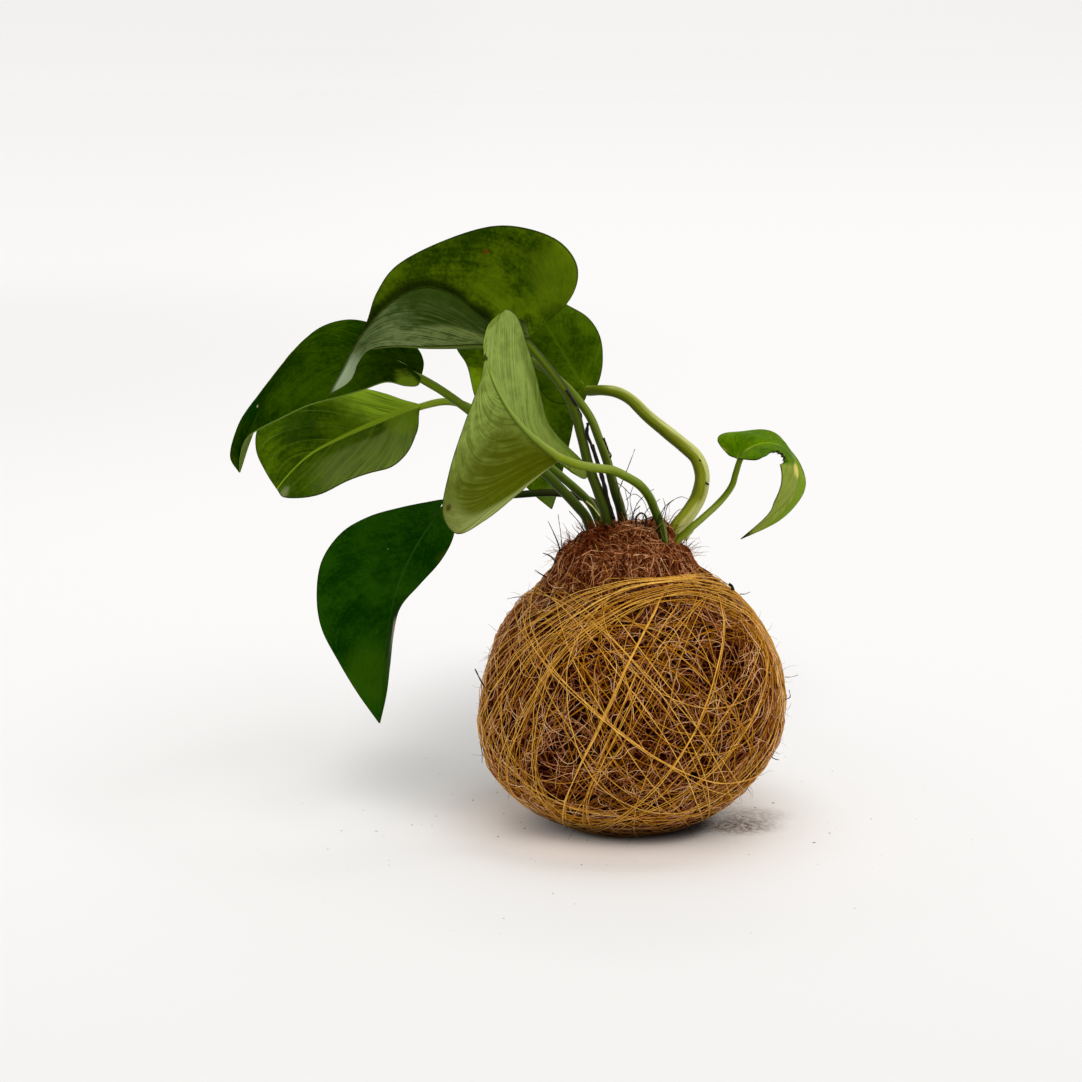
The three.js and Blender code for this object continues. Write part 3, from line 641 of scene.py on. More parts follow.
class LeafFinish(Finish):
    """The finish of one leaf, with the noises and distances that its parts share. A vein is where the
    share along the blade, less a share that grows towards the margin, comes to a whole count, and
    noises that are stretched along the veins make the streaks between them."""

    def __init__(self, name, look):
        super().__init__("leaf_" + name)
        self.look = look
        self.at = self.place()
        self.across, self.along, self.under = self.tag("across"), self.tag("along"), self.tag("under")
        self.rib_mm, self.margin_mm = self.tag("rib_mm"), self.tag("margin_mm")
        self.far = self.math("ABSOLUTE", self.across)
        swept = self.times(self.math("POWER", self.far, 1.1), look["sweep"])
        drift = self.about(self.noise(self.at, 35), 0.06)
        self.vein_run = self.plus(self.math("SUBTRACT", self.along, swept), drift)
        self.ridge = self.math("PINGPONG", self.times(self.vein_run, VEINS), 0.5)
        self.inside = self.rise(self.margin_mm, 1.0, 6.0)
        self.side_vein = self.times(self.rise(self.ridge, 0.0, 0.05, 1.0, 0.0), self.inside)
        self.long = self.stretched(44, 1.2, 3, 0.55)
        self.fine = self.stretched(150, 6, 3, 0.5)
        self.mottle = self.noise(self.at, 260, 4, 0.65)
        self.patch = self.noise(self.at, 55, 4, 0.6)
        self.speck = self.noise(self.at, 800, 3, 0.7)
        broad = self.stretched(30, 3, 4, 0.6)
        self.streak = self.plus(self.times(broad, 0.35), self.times(self.mottle, 0.4),
                                self.times(self.long, 0.25))
        wide = look.get("rib_wide", 1.0)
        rib_width = self.rise(self.along, 0.0, 1.0, wide, 0.3 * wide)
        self.rib = self.rise(self.math("DIVIDE", self.rib_mm, rib_width), 0.5, 1.1, 1.0, 0.0)

    def stretched(self, along, across, detail, roughness):
        """A noise that is finer across the veins than along them."""
        place = self.join(self.times(self.vein_run, along), self.times(self.far, across), self.look["seed"])
        return self.noise(place, 1.0, detail, roughness)

    def painted(self, share, colour, key):
        """A colour with one of the look's own colours laid over it by a share."""
        return self.mix(share, colour, paint(*self.look[key]))

    def upper_face(self):
        """The upper face: mottled between two greens, with pale side veins and a dark line in each."""
        above = self.look["streaks"][0]
        pale_vein, dark_line, _ = self.look.get("shown", SHOWN)
        tone = self.plus(self.times(self.streak, above), self.times(self.patch, 1 - above))
        tone = self.rise(self.plus(tone, self.about(self.speck, 0.22)), 0.38, 0.62)
        colour = self.painted(tone, paint(*self.look["dark"]), "light")
        thin_vein = self.times(self.rise(self.ridge, 0.0, 0.018, 1.0, 0.0), self.inside)
        colour = self.painted(self.times(self.side_vein, pale_vein), colour, "vein")
        return self.painted(self.times(thin_vein, dark_line), colour, "dark")

    def lower_face(self):
        """The lower face: one tone that fades to another towards the tip, with darker streaks, fine
        lines and veins, and darker towards the margin where the look says so."""
        below = self.look["streaks"][1]
        colour = self.painted(self.rise(self.along, 0.2, 0.7), paint(*self.look["under_light"]), "under_far")
        tone = self.plus(self.times(self.long, 0.6), self.times(self.mottle, 0.4))
        colour = self.painted(self.rise(tone, 0.38, 0.56, below, 0.0), colour, "under_dark")
        colour = self.painted(self.times(self.rise(self.fine, 0.5, 0.68), 0.3), colour, "under_dark")
        colour = self.painted(self.times(self.side_vein, 0.4), colour, "under_dark")
        if "rim" in self.look:
            start, end, share = self.look["rim"]
            strip = self.rise(self.margin_mm, start, end, share, 0.0)
            strip = self.times(strip, self.rise(self.long, 0.4, 0.6, 1.0, 0.35))
            colour = self.painted(strip, colour, "under_dark")
        return colour

    def with_halves(self, faces):
        """Both faces, with the parts of other colours that lie on one side of the midrib."""
        for side, inner, (start, end), tones, strength in self.look.get("halves", ()):
            ragged = self.plus(self.along, self.times(self.streak, 0.4))
            part = self.times(
                self.rise(self.times(self.across, side), inner, inner + 0.12),
                self.rise(self.along, start - 0.03, start + 0.03),
                self.rise(ragged, end + 0.1, end + 0.3, strength, 0.0),
                self.rise(self.long, 0.4, 0.58, 0.45, 1.0),
            )
            faces = [self.mix(part, face, paint(*tone)) if tone else face for face, tone in zip(faces, tones)]
        return faces

    def with_patches(self, colour, sides):
        """The colour, with ragged spots on the faces that they belong to."""
        for face, spot, radius, tone, strength in self.look.get("patches", ()):
            away = self.distance(self.at, tuple(v * MM for v in spot))
            away = self.plus(away, self.about(self.streak, 1.8 * radius * MM))
            near = self.rise(away, 0.4 * radius * MM, radius * MM, strength, 0.0)
            near = self.times(near, sides[face], self.rise(self.fine, 0.3, 0.6, 0.75, 1.0))
            colour = self.mix(near, colour, paint(*tone))
        return colour

    def with_fold_shade(self, colour, leaf, upper_side):
        """The colour, with painted shadow near black on the upper face just behind the fold: the darkness
        goes by the distance to the nearest of some spots along it."""
        away = None
        for spot in curve(places_on_blade(leaf, self.look["shade"]), np.linspace(0, 1, FOLD_STEPS)) * MM:
            here = self.distance(self.at, spot.tolist())
            away = here if away is None else self.math("MINIMUM", away, here)
        close = self.times(self.rise(away, 0.0008, 0.0042, 0.86, 0.0), upper_side)
        return self.mix(close, colour, paint(8, 18, 0))

    def edged(self, colour):
        """The colour, with a thin dark margin and darker torn places."""
        edge = self.rise(self.margin_mm, 0.15, self.look.get("edge", 0.5), 0.8, 0.0)
        rim = paint(*RIM_PAINT)
        if "front_edge" in self.look:
            rim = self.painted(self.rise(self.across, -0.1, 0.1), rim, "front_edge")
        return self.mix(self.tag("torn"), self.mix(edge, colour, rim), paint(*TORN_PAINT))


def leaf_finish(name, leaf, look):
    """The finish of one leaf, from its two faces and what lies on them. The upper face is glossy, and
    the lower one paler and duller."""
    f = LeafFinish(name, look)
    upper, lower = f.with_halves([f.upper_face(), f.lower_face()])
    upper = f.painted(f.times(f.rib, look.get("shown", SHOWN)[2]), upper, "rib")
    lower = f.painted(f.times(f.rib, 0.8), lower, "under_rib" if "under_rib" in look else "rib")
    if "turned" in look:
        upper = f.mix(f.rise(f.along, *look["turned"]), upper, lower)
    sides = (f.math("SUBTRACT", 1.0, f.under), f.under)
    colour = f.with_patches(f.mix(f.under, upper, lower), sides)
    if "shade" in look:
        colour = f.with_fold_shade(colour, leaf, sides[0])
    height = f.plus(f.times(f.streak, 0.5), f.times(f.speck, 0.15), f.times(f.side_vein, -0.4))
    rough = f.plus(0.42, f.times(f.under, 0.23), f.times(f.patch, 0.1))
    return f.done(f.edged(colour), rough, f.bump(height, 0.16, 0.7),
                  Specular_IOR_Level=look.get("gloss", 0.02), Specular_Tint=(0.7, 1, 0.1, 1),
                  Subsurface_Weight=0.08, Subsurface_Scale=0.001, Subsurface_Radius=(0.5, 1.0, 0.15))


def blade_surface(leaf):
    """The blade's middle surface as functions of t, from base to tip, and s, from the right margin
    at -1 over the midrib at 0 to the left margin at 1. A line of constant t runs from the midrib at
    that share of its length, raised to a power, straight out to a margin, and bulges towards the
    upper face in between. The upper face's direction is square to the midrib and that line."""
    base, tip = leaf["rib"][0], leaf["rib"][-1]
    margins = {1: [base, *leaf["left"], tip], -1: [base, *leaf["right"], tip]}

    def across(t, side):
        return curve(margins[side], t) - even_curve(leaf["rib"], t**RIB_LEAD)

    def up(t, side):
        clear = np.clip(t, LOBE_END, TIP_START)
        share = clear**RIB_LEAD
        ahead = even_curve(leaf["rib"], share + 0.001) - even_curve(leaf["rib"], share - 0.001)
        return unit(np.cross(ahead, across(clear, side))) * side

    def place(t, s):
        t, s = np.broadcast_arrays(t, s)
        far = np.abs(s)[..., None]
        left = (s > 0)[..., None]
        out = np.where(left, across(t, 1), across(t, -1))
        lift = np.where(left, leaf["bulge"][0], leaf["bulge"][1]) * 4 * far * (1 - far)
        lift = lift * np.linalg.norm(out, axis=-1, keepdims=True)
        return even_curve(leaf["rib"], t**RIB_LEAD) + out * far + np.where(left, up(t, 1), up(t, -1)) * lift

    def upper(t, s):
        t, s = np.broadcast_arrays(t, s)
        middle = unit(up(t, 1) + up(t, -1))
        side = np.where((s > 0)[..., None], up(t, 1), up(t, -1))
        return unit(mixed(middle, side, np.minimum(1, 2 * np.abs(s))[..., None]))

    return place, upper, across


def rays_seen(pixels):
    """Directions from the camera to what the photograph shows at the given pixels."""
    off = (np.asarray(pixels, float) - PHOTO_PIXELS / 2) / FOCAL
    return AHEAD + off[..., :1] * np.array([1, 0, 0]) - off[..., 1:] * UP


def places_on_blade(leaf, pixels):
    """The places on the right half of a blade that the photograph shows at the given pixels: of a
    fine grid of places, the one whose direction from the camera is nearest to the pixel's."""
    place, _, _ = blade_surface(leaf)
    points = place(np.linspace(0, 1, 500)[:, None], np.linspace(-1, -0.02, 300)[None, :]).reshape(-1, 3)
    nearest = np.argmax(unit(points - EYE) @ unit(rays_seen(pixels)).T, axis=0)
    return points[nearest]


def blade(name, leaf, look):
    """A leaf blade as a closed sheet. Both faces are the middle surface, moved along its upward
    direction by half the thickness and by a relief: the groove of the midrib, the puckers between
    the side veins as a rectified cosine, and slow waves that grow towards the margin. A bite draws
    the margin in by a ragged half oval."""
    place, upper, across = blade_surface(leaf)
    t = mixed(BLADE_END, 1 - BLADE_END, np.linspace(0, 1, BLADE_ROWS))[:, None]
    line = np.linspace(1, -1, BLADE_COLUMNS)[None, :]
    s = np.sign(line) * np.abs(line) ** 1.3
    side = np.where(s > 0, 1, -1)
    far = np.abs(s)
    reach = np.where(s > 0, np.linalg.norm(across(t, 1), axis=-1), np.linalg.norm(across(t, -1), axis=-1))
    torn = 0 * t * s
    for bitten, middle, width, depth in look.get("bites", ()):
        bite = np.sqrt(np.clip(1 - ((t - middle) / width) ** 2, 0, 1))
        bite = depth * bite * (1 + 0.15 * np.sin(t * 180) + 0.08 * np.sin(t * 410 + 1))
        torn = np.maximum(torn, np.where(side == bitten, bite / depth * eased(0.72, 0.9, far), 0))
        s = np.where(side == bitten, s * (1 - bite), s)
    rib_mm = far * reach
    margin_mm = (1 - far) * reach
    vein_run = (t - look["sweep"] * far**1.1) * VEINS
    pucker = np.abs(np.cos(np.pi * vein_run)) - 0.6
    fade = eased(0.5, 4, rib_mm) * eased(0.3, 4, margin_mm) * eased(0.02, 0.1, t) * eased(1, 0.9, t)
    wave = look["wave"] * far**2 * np.sin(2 * np.pi * (3.2 * t + 0.37 * side + look["seed"] * 0.13))
    wave = wave * eased(1.5, 8, reach)
    groove = RIB_GROOVE * np.exp(-(rib_mm / RIB_GROOVE_WIDTH) ** 2) * (1 - t)
    relief = -groove + PUCKER * pucker * fade + wave * eased(0, 0.15, t) * eased(1, 0.85, t)
    half = 0.5 * BLADE_THICKNESS * mixed(0.55, 1, eased(0, 3, margin_mm))
    middle, way = place(t, s), upper(t, s)
    top = middle + way * (relief + half)[..., None]
    bottom = middle + way * (relief - half)[..., None]

    number = np.arange(BLADE_ROWS * BLADE_COLUMNS).reshape(BLADE_ROWS, BLADE_COLUMNS)
    border = np.concatenate([number[0, :-1], number[:-1, -1], number[-1, :0:-1], number[:0:-1, 0]])
    ahead = np.roll(border, -1)
    face = grid_faces(BLADE_ROWS, BLADE_COLUMNS)
    below = number.size
    walls = np.stack([ahead, border, border + below, ahead + below], -1)
    quads = np.concatenate([face, face[:, ::-1] + below, walls])
    points = np.concatenate([top.reshape(-1, 3), bottom.reshape(-1, 3)])
    quads = outward(points, quads)

    def both(values):
        """Values at the grid's points, for the two faces."""
        return np.tile(np.broadcast_to(values, number.shape).ravel(), 2)

    tags = {
        "across": both(s), "along": both(t), "rib_mm": both(rib_mm), "margin_mm": both(margin_mm),
        "under": np.repeat([0.0, 1.0], number.size), "torn": both(torn),
    }
    uv = np.stack([both(s) * 0.5 + 0.5, both(t)], -1)
    put("leaf_" + name + "_blade", points, [quads], leaf_finish(name, leaf, look), "leaf",
        ["leaf_" + name], tags, uv)


def outward(points, quads):
    """The quads, turned round if the volume that they enclose comes out negative."""
    a, b, c, d = (points[quads[:, k]] for k in range(4))
    twice = np.einsum("ij,ij->i", a, np.cross(b, c)) + np.einsum("ij,ij->i", a, np.cross(c, d))
    return quads if twice.sum() > 0 else quads[:, ::-1]


def tubes(centres, radii, sides, out, closed=False):
    """Points and faces of round tubes along many centre lines at once. A ring of points stands
    around each centre, in the plane of the out direction and the direction square to it and to the
    line. Closed lines run on into themselves, and the others are capped at both ends."""
    if closed:
        ahead = np.roll(centres, -1, 1) - np.roll(centres, 1, 1)
    else:
        ahead = np.gradient(centres, axis=1)
    ahead = unit(ahead)
    side = unit(np.cross(ahead, out))
    up = np.cross(side, ahead)
    turn = 2 * np.pi * np.arange(sides) / sides
    ring = np.cos(turn)[:, None] * up[:, :, None] + np.sin(turn)[:, None] * side[:, :, None]
    points = centres[:, :, None] + ring * np.broadcast_to(radii, centres.shape[:2])[:, :, None, None]
    lines, steps = centres.shape[:2]
    number = np.arange(lines * steps * sides).reshape(lines, steps, sides)
    here = number if closed else number[:, :-1]
    there = np.roll(number, -1, 1) if closed else number[:, 1:]
    quads = np.stack([here, np.roll(here, -1, 2), np.roll(there, -1, 2), there], -1).reshape(-1, 4)
    faces = [quads]
    if not closed:
        faces.append(np.concatenate([number[:, 0, ::-1], number[:, -1]]))
    return points.reshape(-1, 3), faces


# How each stem looks: its colour at the root, half way up, at the leaf and under its midrib, and
# the colour of painted light on its upper right side (painted shade on petiole_top) with its share
STEM_LOOKS = {
    "vine_stem": ((138, 144, 30), (104, 108, 10), (104, 118, 10), (80, 100, 20), (212, 214, 136), 0.8),
    "petiole_top": ((50, 62, 6), (66, 80, 6), (92, 110, 12), (104, 122, 50), (10, 16, 2), 0.7),
    "petiole_rear": ((28, 38, 4), (84, 102, 6), (96, 116, 10), (96, 118, 40), (166, 178, 90), 0.25),
    "petiole_front": ((34, 56, 0), (94, 114, 8), (118, 134, 22), (118, 138, 50), (176, 188, 92), 0.3),
    "petiole_left": ((38, 54, 4), (70, 90, 10), (112, 136, 18), (100, 120, 40), (150, 168, 70), 0.15),
    "petiole_left_low": ((50, 70, 4), (88, 112, 10), (152, 176, 40), (110, 130, 40), (170, 184, 80), 0.25),
    "petiole_hanging": ((66, 50, 16), (0, 22, 0), (2, 32, 0), (60, 84, 30), (120, 110, 70), 0.1),
    "petiole_small": ((104, 120, 6), (94, 114, 4), (94, 116, 4), (120, 136, 40), (180, 190, 100), 0.3),
}


def stalk_finish(name, looks):
    """The finish of a stem: green that shades from its root to its leaf, with painted light in a tone
    of its own on its upper right side (painted shade on petiole_top) and painted shade on the other,
    and with streaks that run along it, because the noise is stretched in the direction of its length."""
    f = Finish(name)
    share, lit = f.tag("share"), f.tag("lit")
    streak = f.noise(f.tag("streak", "Vector"), 2.4, 3, 0.6)
    speck = f.noise(f.place(), 700, 3, 0.7)
    root, middle, leaf, ridge = (paint(*look) for look in looks[:4])
    colour = f.ramp(share, [(0.0, root), (0.16, root), (0.4, middle), (LEAF_SHARE, leaf), (0.8, ridge)])
    side = f.plus(lit, f.about(streak, 1.2))
    # painted shade on the side away from the painted light
    colour = f.mix(f.rise(side, -0.6, 0.4, 0.75, 0.0), colour, (0.28, 0.34, 0.1, 1), "MULTIPLY")
    # painted light on the upper right side
    colour = f.mix(f.rise(side, 0.4, 1.0, 0.0, looks[5]), colour, paint(*looks[4]))
    colour = f.mix(f.times(f.rise(speck, 0.64, 0.76), 0.35), colour, paint(60, 56, 16))
    normal = f.bump(f.plus(streak, f.times(speck, 0.3)), 0.15, 0.6)
    return f.done(colour, f.plus(0.34, f.times(streak, 0.2)), normal,
                  Specular_IOR_Level=0.2, Specular_Tint=(0.8, 1, 0.3, 1), Subsurface_Weight=0.1,
                  Subsurface_Scale=0.0015, Subsurface_Radius=(0.6, 1.0, 0.2))


def stalk(name, stem):
    """A stem as a round tube along its path, which goes on under the midrib of its leaf as a ridge.
    Its radius changes evenly along each of the two, with a shallow channel on the upper side and a
    slight swelling at the root."""
    leaf = LEAVES[stem["leaf"]]
    place, upper, _ = blade_surface(leaf)
    t = np.array(RIB_SHARES) ** (1 / RIB_LEAD)
    rib_radius = mixed(stem["radii"][1], RIB_END_RADIUS, np.array(RIB_SHARES) / RIB_SHARES[-1])
    ridge = place(t, np.zeros(len(t))) - upper(t, np.zeros(len(t))) * (rib_radius * 0.85)[:, None]
    stem_length = curve_length([*stem["path"], leaf["rib"][0]])
    path = [*stem["path"], *ridge.tolist()]
    length = curve_length(path)
    rows = int(length / STALK_STEP)
    share = np.linspace(0, 1, rows)
    centres = even_curve(path, share)
    run = share * length
    radius = np.where(
        run < stem_length,
        mixed(stem["radii"][0], stem["radii"][1], run / stem_length),
        mixed(stem["radii"][1], RIB_END_RADIUS, (run - stem_length) / (length - stem_length)),
    )
    away = np.array(leaf["rib"][0]) - np.array(stem["path"][0])
    away[2] = 0
    facing = unit(mixed(-unit(away), upper(t[:1], np.zeros(1))[0], eased(0.15, 0.7, share)[:, None]))
    thicker = 1 + 0.03 * ripple(centres, 9, len(name)) + 0.05 * np.exp(-((run - 12) / 5) ** 2)
    points, faces = tubes(centres[None], (radius * thicker)[None], STALK_SIDES, facing[None])
    ahead = unit(np.gradient(centres, axis=0))
    # the direction of the painted light, square to the stem
    pale = unit(PAINTED_LIGHT_SIDE - ahead * (ahead @ PAINTED_LIGHT_SIDE)[:, None])
    around = np.tile(2 * np.pi * np.arange(STALK_SIDES) / STALK_SIDES, rows)
    from_channel = np.minimum(around, 2 * np.pi - around)
    channel = 1 - CHANNEL_DEPTH * np.exp(-((from_channel / CHANNEL_WIDTH) ** 2))
    middle = np.repeat(centres, STALK_SIDES, 0)
    points = middle + (points - middle) * channel[:, None]
    along = np.repeat(run, STALK_SIDES)
    tags = {
        "lit": np.sum(unit(points - middle) * np.repeat(pale, STALK_SIDES, 0), -1),
        "share": np.repeat(run / stem_length, STALK_SIDES) * LEAF_SHARE,
        "streak": np.stack([np.cos(around), np.sin(around), along * 0.025], -1),
    }
    put(name + "_stalk", points, faces, stalk_finish(name, STEM_LOOKS[name]), "stem", [name], tags)


def outline():
    """Half the ball's outline from the centre of its foot to the top of the mound, as (radius,
    height): part of an ellipse up to the widest height, then the curve of the shoulder, the rim and
    the curve of the mound between the stems."""
    start = math.asin(WIDEST_Z / LOWER_HEIGHT)
    angle = start * (1 - np.linspace(0, 1, 60))
    belly = np.stack([BALL_RADIUS * np.cos(angle), WIDEST_Z - LOWER_HEIGHT * np.sin(angle)], -1)
    shoulder = curve(SHOULDER, np.linspace(0, 1, 90))[1:]
    mound = curve([(RIM_RADIUS - RIM_ROUND, RIM_Z), *MOUND], np.linspace(0, 1, 40))
    return np.concatenate([[[0, 0]], belly, shoulder, mound])


OUTLINE = outline()
SLOPES = np.arctan2(OUTLINE[:, 0], OUTLINE[:, 1] - CENTRE_Z)


def swell(angle, z):
    """How far the coir stands out from its outline: a sum of slow waves around and up the ball,
    which die out at the foot and the neck."""
    up = z / BALL_RADIUS
    fade = eased(2, 14, z) * (1 - eased(88, 100, z))
    return RELIEF * fade * (0.6 * np.sin(5 * angle + 4 * up) + 0.4 * np.sin(8 * angle - 7 * up + 1))


def lean(x, y, z):
    """How much higher the neck and the mound stand towards the left and the front: a share of x
    and y that comes in with the height, and the round bells of the heaps and hollows."""
    rim = eased(LIFT_START_Z, RIM_Z, z) * (-RIM_LIFT_LEFT * x - RIM_LIFT_FRONT * y) / RIM_RADIUS
    more = MOUND_LEAN - RIM_LIFT_LEFT / RIM_RADIUS
    heaps = sum(rise * np.exp(-((x - at[0]) ** 2 + (y - at[1]) ** 2) / wide**2) for at, wide, rise in HEAPS)
    return rim - more * x * eased(RIM_Z, MOUND[1][1], z) + heaps * eased(HEAPS_START_Z, RIM_Z, z)


def sideways(z):
    """How far to the right the ball lies at a height: straight lines between the heights that were
    read from the photograph."""
    return np.interp(z, [at for at, _ in SIDEWAYS], [shift for _, shift in SIDEWAYS])


def skin(way, stand=0.0):
    """Points on the ball's surface in the given directions from its centre, or standing off it. The
    outline is looked up by the direction's slope, and swell and lean are added."""
    way = unit(way)
    slope = np.arctan2(np.hypot(way[..., 0], way[..., 1]), way[..., 2])
    radius = np.interp(slope, SLOPES[::-1], OUTLINE[::-1, 0])
    z = np.interp(slope, SLOPES[::-1], OUTLINE[::-1, 1])
    angle = np.arctan2(way[..., 1], way[..., 0])
    point = way * (np.hypot(radius, z - CENTRE_Z) + swell(angle, z) + stand)[..., None]
    x, y, z = point[..., 0], point[..., 1], point[..., 2] + CENTRE_Z
    return np.stack([x + sideways(z), y, z + lean(x, y, z)], -1)


def ways_seen(pixels):
    """Directions from the ball's centre to the places of its surface that the photograph shows at
    the given pixels. Each pixel's ray is met with a sphere around the centre, whose radius is then
    taken from the surface in that direction, a few times over, which settles on the surface."""
    eye = EYE - (0, 0, CENTRE_Z)
    ray = unit(rays_seen(pixels))
    nearest = -ray @ eye
    miss = np.linalg.norm(eye + ray * nearest[..., None], axis=-1)
    radius = MEAN_RADIUS
    for _ in range(SETTLE_STEPS):
        depth = nearest - np.sqrt(np.maximum(radius**2 - miss**2, 0))
        way = unit(eye + ray * depth[..., None])
        radius = np.linalg.norm(skin(way) - (0, 0, CENTRE_Z), axis=-1)
    return way


def ways_on_ball(rng, count, low_z, high_z):
    """Random directions from the ball's centre whose points on the surface lie between two heights,
    spread evenly over the area: a height is drawn by the area of the outline's rings below it."""
    ring = (OUTLINE[1:, 0] + OUTLINE[:-1, 0]) / 2 * np.linalg.norm(np.diff(OUTLINE, axis=0), axis=1)
    area = np.concatenate([[0], np.cumsum(ring)])
    drawn = rng.uniform(*np.interp([low_z, high_z], OUTLINE[:, 1], area), count)
    radius, z = np.interp(drawn, area, OUTLINE[:, 0]), np.interp(drawn, area, OUTLINE[:, 1])
    angle = rng.uniform(0, 2 * np.pi, count)
    return unit(np.stack([radius * np.cos(angle), radius * np.sin(angle), z - CENTRE_Z], -1))


def headings(rng, ways, around=0.0):
    """For each direction, a random one square to it, and the one square to both. The larger around
    is, the more the random ones run around the upright axis."""
    ring = unit(np.cross([0, 0, 1.0], ways) + 1e-6)
    drawn = rng.normal(size=ways.shape) + ring * around * rng.choice([-1, 1], (len(ways), 1))
    ahead = unit(drawn - ways * np.sum(drawn * ways, -1, keepdims=True))
    return ahead, np.cross(ways, ahead)


# The layers of loose coir, from the ball's inside out: the name, the seed, the number of fibres, the
# heights between which they lie, their lengths, how far they stand off, how high they bow, how far
# they bend, their radii, their tones, and how far they run around the upright axis
# the deeper layers' darker tones are partly painted shade in the depth of the coir
COIR_LAYERS = [
    ("coir_deep", 31, 3000, (2, 103), (8, 24), (-2.0, -1.2), 0.4, 0.25, (0.13, 0.19), (0.0, 0.4), 0.0),
    ("coir_middle", 32, 3200, (2, 104), (7, 22), (-1.4, -0.5), 0.5, 0.22, (0.12, 0.17), (0.2, 0.8), 0.0),
    ("coir_outer", 33, 2600, (3, 104), (6, 18), (-0.6, 0.15), 0.5, 0.24, (0.11, 0.15), (0.5, 1.05), 0.0),
    ("neck_coir", 34, 1500, (90, 107), (5, 16), (-0.8, 0.6), 1.1, 0.6, (0.11, 0.18), (0.05, 0.92), 1.0),
    ("mound_coir", 35, 800, (102, 112), (5, 15), (-0.6, 1.0), 1.2, 0.6, (0.12, 0.18), (0.0, 0.9), 0.4),
]

# Points along a fibre
FIBRE_STEPS = 8


def fibres(name, seed, count, heights, lengths, stands, bow, curl, radius, tones, around):
    """Loose coir fibres that lie on the ball. Each runs through a random point in a random heading,
    bent sideways by a parabola and a sine wave, and stands off the surface by its own height plus
    a bow that is highest in its middle. Those in the hollow at the neck are darker, as painted shade."""
    rng = np.random.default_rng(seed)
    way = ways_on_ball(rng, count, *heights)
    ahead, aside = headings(rng, way, around)
    length = rng.uniform(*lengths, count)[:, None] / MEAN_RADIUS
    run = np.linspace(-0.5, 0.5, FIBRE_STEPS)[None, :]
    bend = rng.normal(0, curl, (count, 1))
    wiggle = rng.uniform(0, 0.08, (count, 1)) * np.sin(
        2 * np.pi * (rng.uniform(0.6, 1.8, (count, 1)) * run + rng.uniform(0, 1, (count, 1))))
    bent = length * (bend * run**2 * 4 + wiggle)
    path = way[:, None] + ahead[:, None] * (run * length)[..., None] + aside[:, None] * bent[..., None]
    stand = rng.uniform(*stands, (count, 1)) + rng.uniform(0, bow, (count, 1)) * (1 - 4 * run**2)
    centres = skin(path, stand)
    thick = rng.uniform(*radius, (count, 1)) * (1 - 0.7 * np.abs(2 * run) ** 3)
    centres[..., 2] = np.maximum(centres[..., 2], thick + 0.02)
    points, faces = tubes(centres, thick, 3, unit(path))
    # painted shade: fibres in the hollow at the neck get darker tones
    hollow = np.exp(-np.sum((way - ways_seen(SHADED_HOLLOW_SEEN)) ** 2, -1) / SHADED_HOLLOW_WIDTH**2)
    tone = np.repeat(rng.uniform(*tones, count) * (1 - 0.9 * hollow), FIBRE_STEPS * 3)
    put(name, points, faces, COIR, "coir", tags={"tone": tone})


def painted_foot_shade(f, colour):
    """A colour that turns near black towards the foot, as painted shade where the ball is in its own shadow.
    """
    height = f.node("SeparateXYZ", {0: f.place()}).outputs["Z"]
    # painted shade: near black towards the foot
    return f.mix(f.rise(height, 0.004, 0.016, 0.92, 0.0), colour, paint(30, 9, 1))


def coir_finish():
    """The finish of the loose fibres: each has its own tone, from near black over red-brown to a
    pale tan, and small light and dark flecks along it."""
    f = Finish("coir_fibre")
    fleck = f.noise(f.place(), 420, 2, 0.6)
    tone = f.plus(f.tag("tone"), f.about(fleck, 0.5))
    stops = [
        (0.0, paint(32, 1, 0)), (0.3, paint(90, 25, 2)), (0.6, paint(156, 84, 38)),
        (0.85, paint(226, 164, 110)), (1.0, paint(255, 210, 160)),
    ]
    return f.done(painted_foot_shade(f, f.ramp(tone, stops)), 0.75, f.bump(fleck, 0.1, 0.4), Specular_IOR_Level=0.08,
                  Specular_Tint=(1, 0.7, 0.4, 1))


def mat_finish():
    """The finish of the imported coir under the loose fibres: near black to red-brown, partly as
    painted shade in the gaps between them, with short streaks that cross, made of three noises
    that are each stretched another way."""
    f = Finish("coir_mat")
    place = f.place()
    strands = None
    for turn in ((0.5, 0.2, 0.3), (1.6, 0.9, 2.2), (2.7, 2.1, 0.8)):
        keys = {"Vector": place, "Rotation": turn}
        askew = f.node("VectorRotate", keys, rotation_type="EULER_XYZ").outputs[0]
        stretched = f.node("Mapping", {"Vector": askew, "Scale": (1700, 1700, 140)}).outputs[0]
        strand = f.noise(stretched, 1.0, 2, 0.5)
        strands = strand if strands is None else f.math("MAXIMUM", strands, strand)
    clump = f.noise(place, 150, 3, 0.6)
    tone = f.times(f.rise(strands, 0.52, 0.78), f.rise(clump, 0.35, 0.7))
    stops = [(0.0, paint(14, 2, 0)), (0.5, paint(40, 9, 1)), (1.0, paint(94, 38, 12))]
    normal = f.bump(f.plus(strands, clump), 0.8, 0.9)
    return f.done(painted_foot_shade(f, f.ramp(tone, stops)), 0.9, normal, Specular_IOR_Level=0.05)


def soil_finish():
    """The finish of the soil between the stems: dark crumbs with a few pale specks."""
    f = Finish("soil_crumbs")
    place = f.place()
    crumb = f.noise(place, 500, 4, 0.7)
    speck = f.rise(f.noise(place, 1400, 1, 0.5), 0.66, 0.74)
    crumbs = f.ramp(crumb, [(0.2, paint(20, 8, 3)), (0.8, paint(74, 42, 22))])
    colour = f.mix(speck, crumbs, paint(140, 110, 74))
    return f.done(colour, 0.95, f.bump(crumb, 1.0, 0.9), Specular_IOR_Level=0.05)


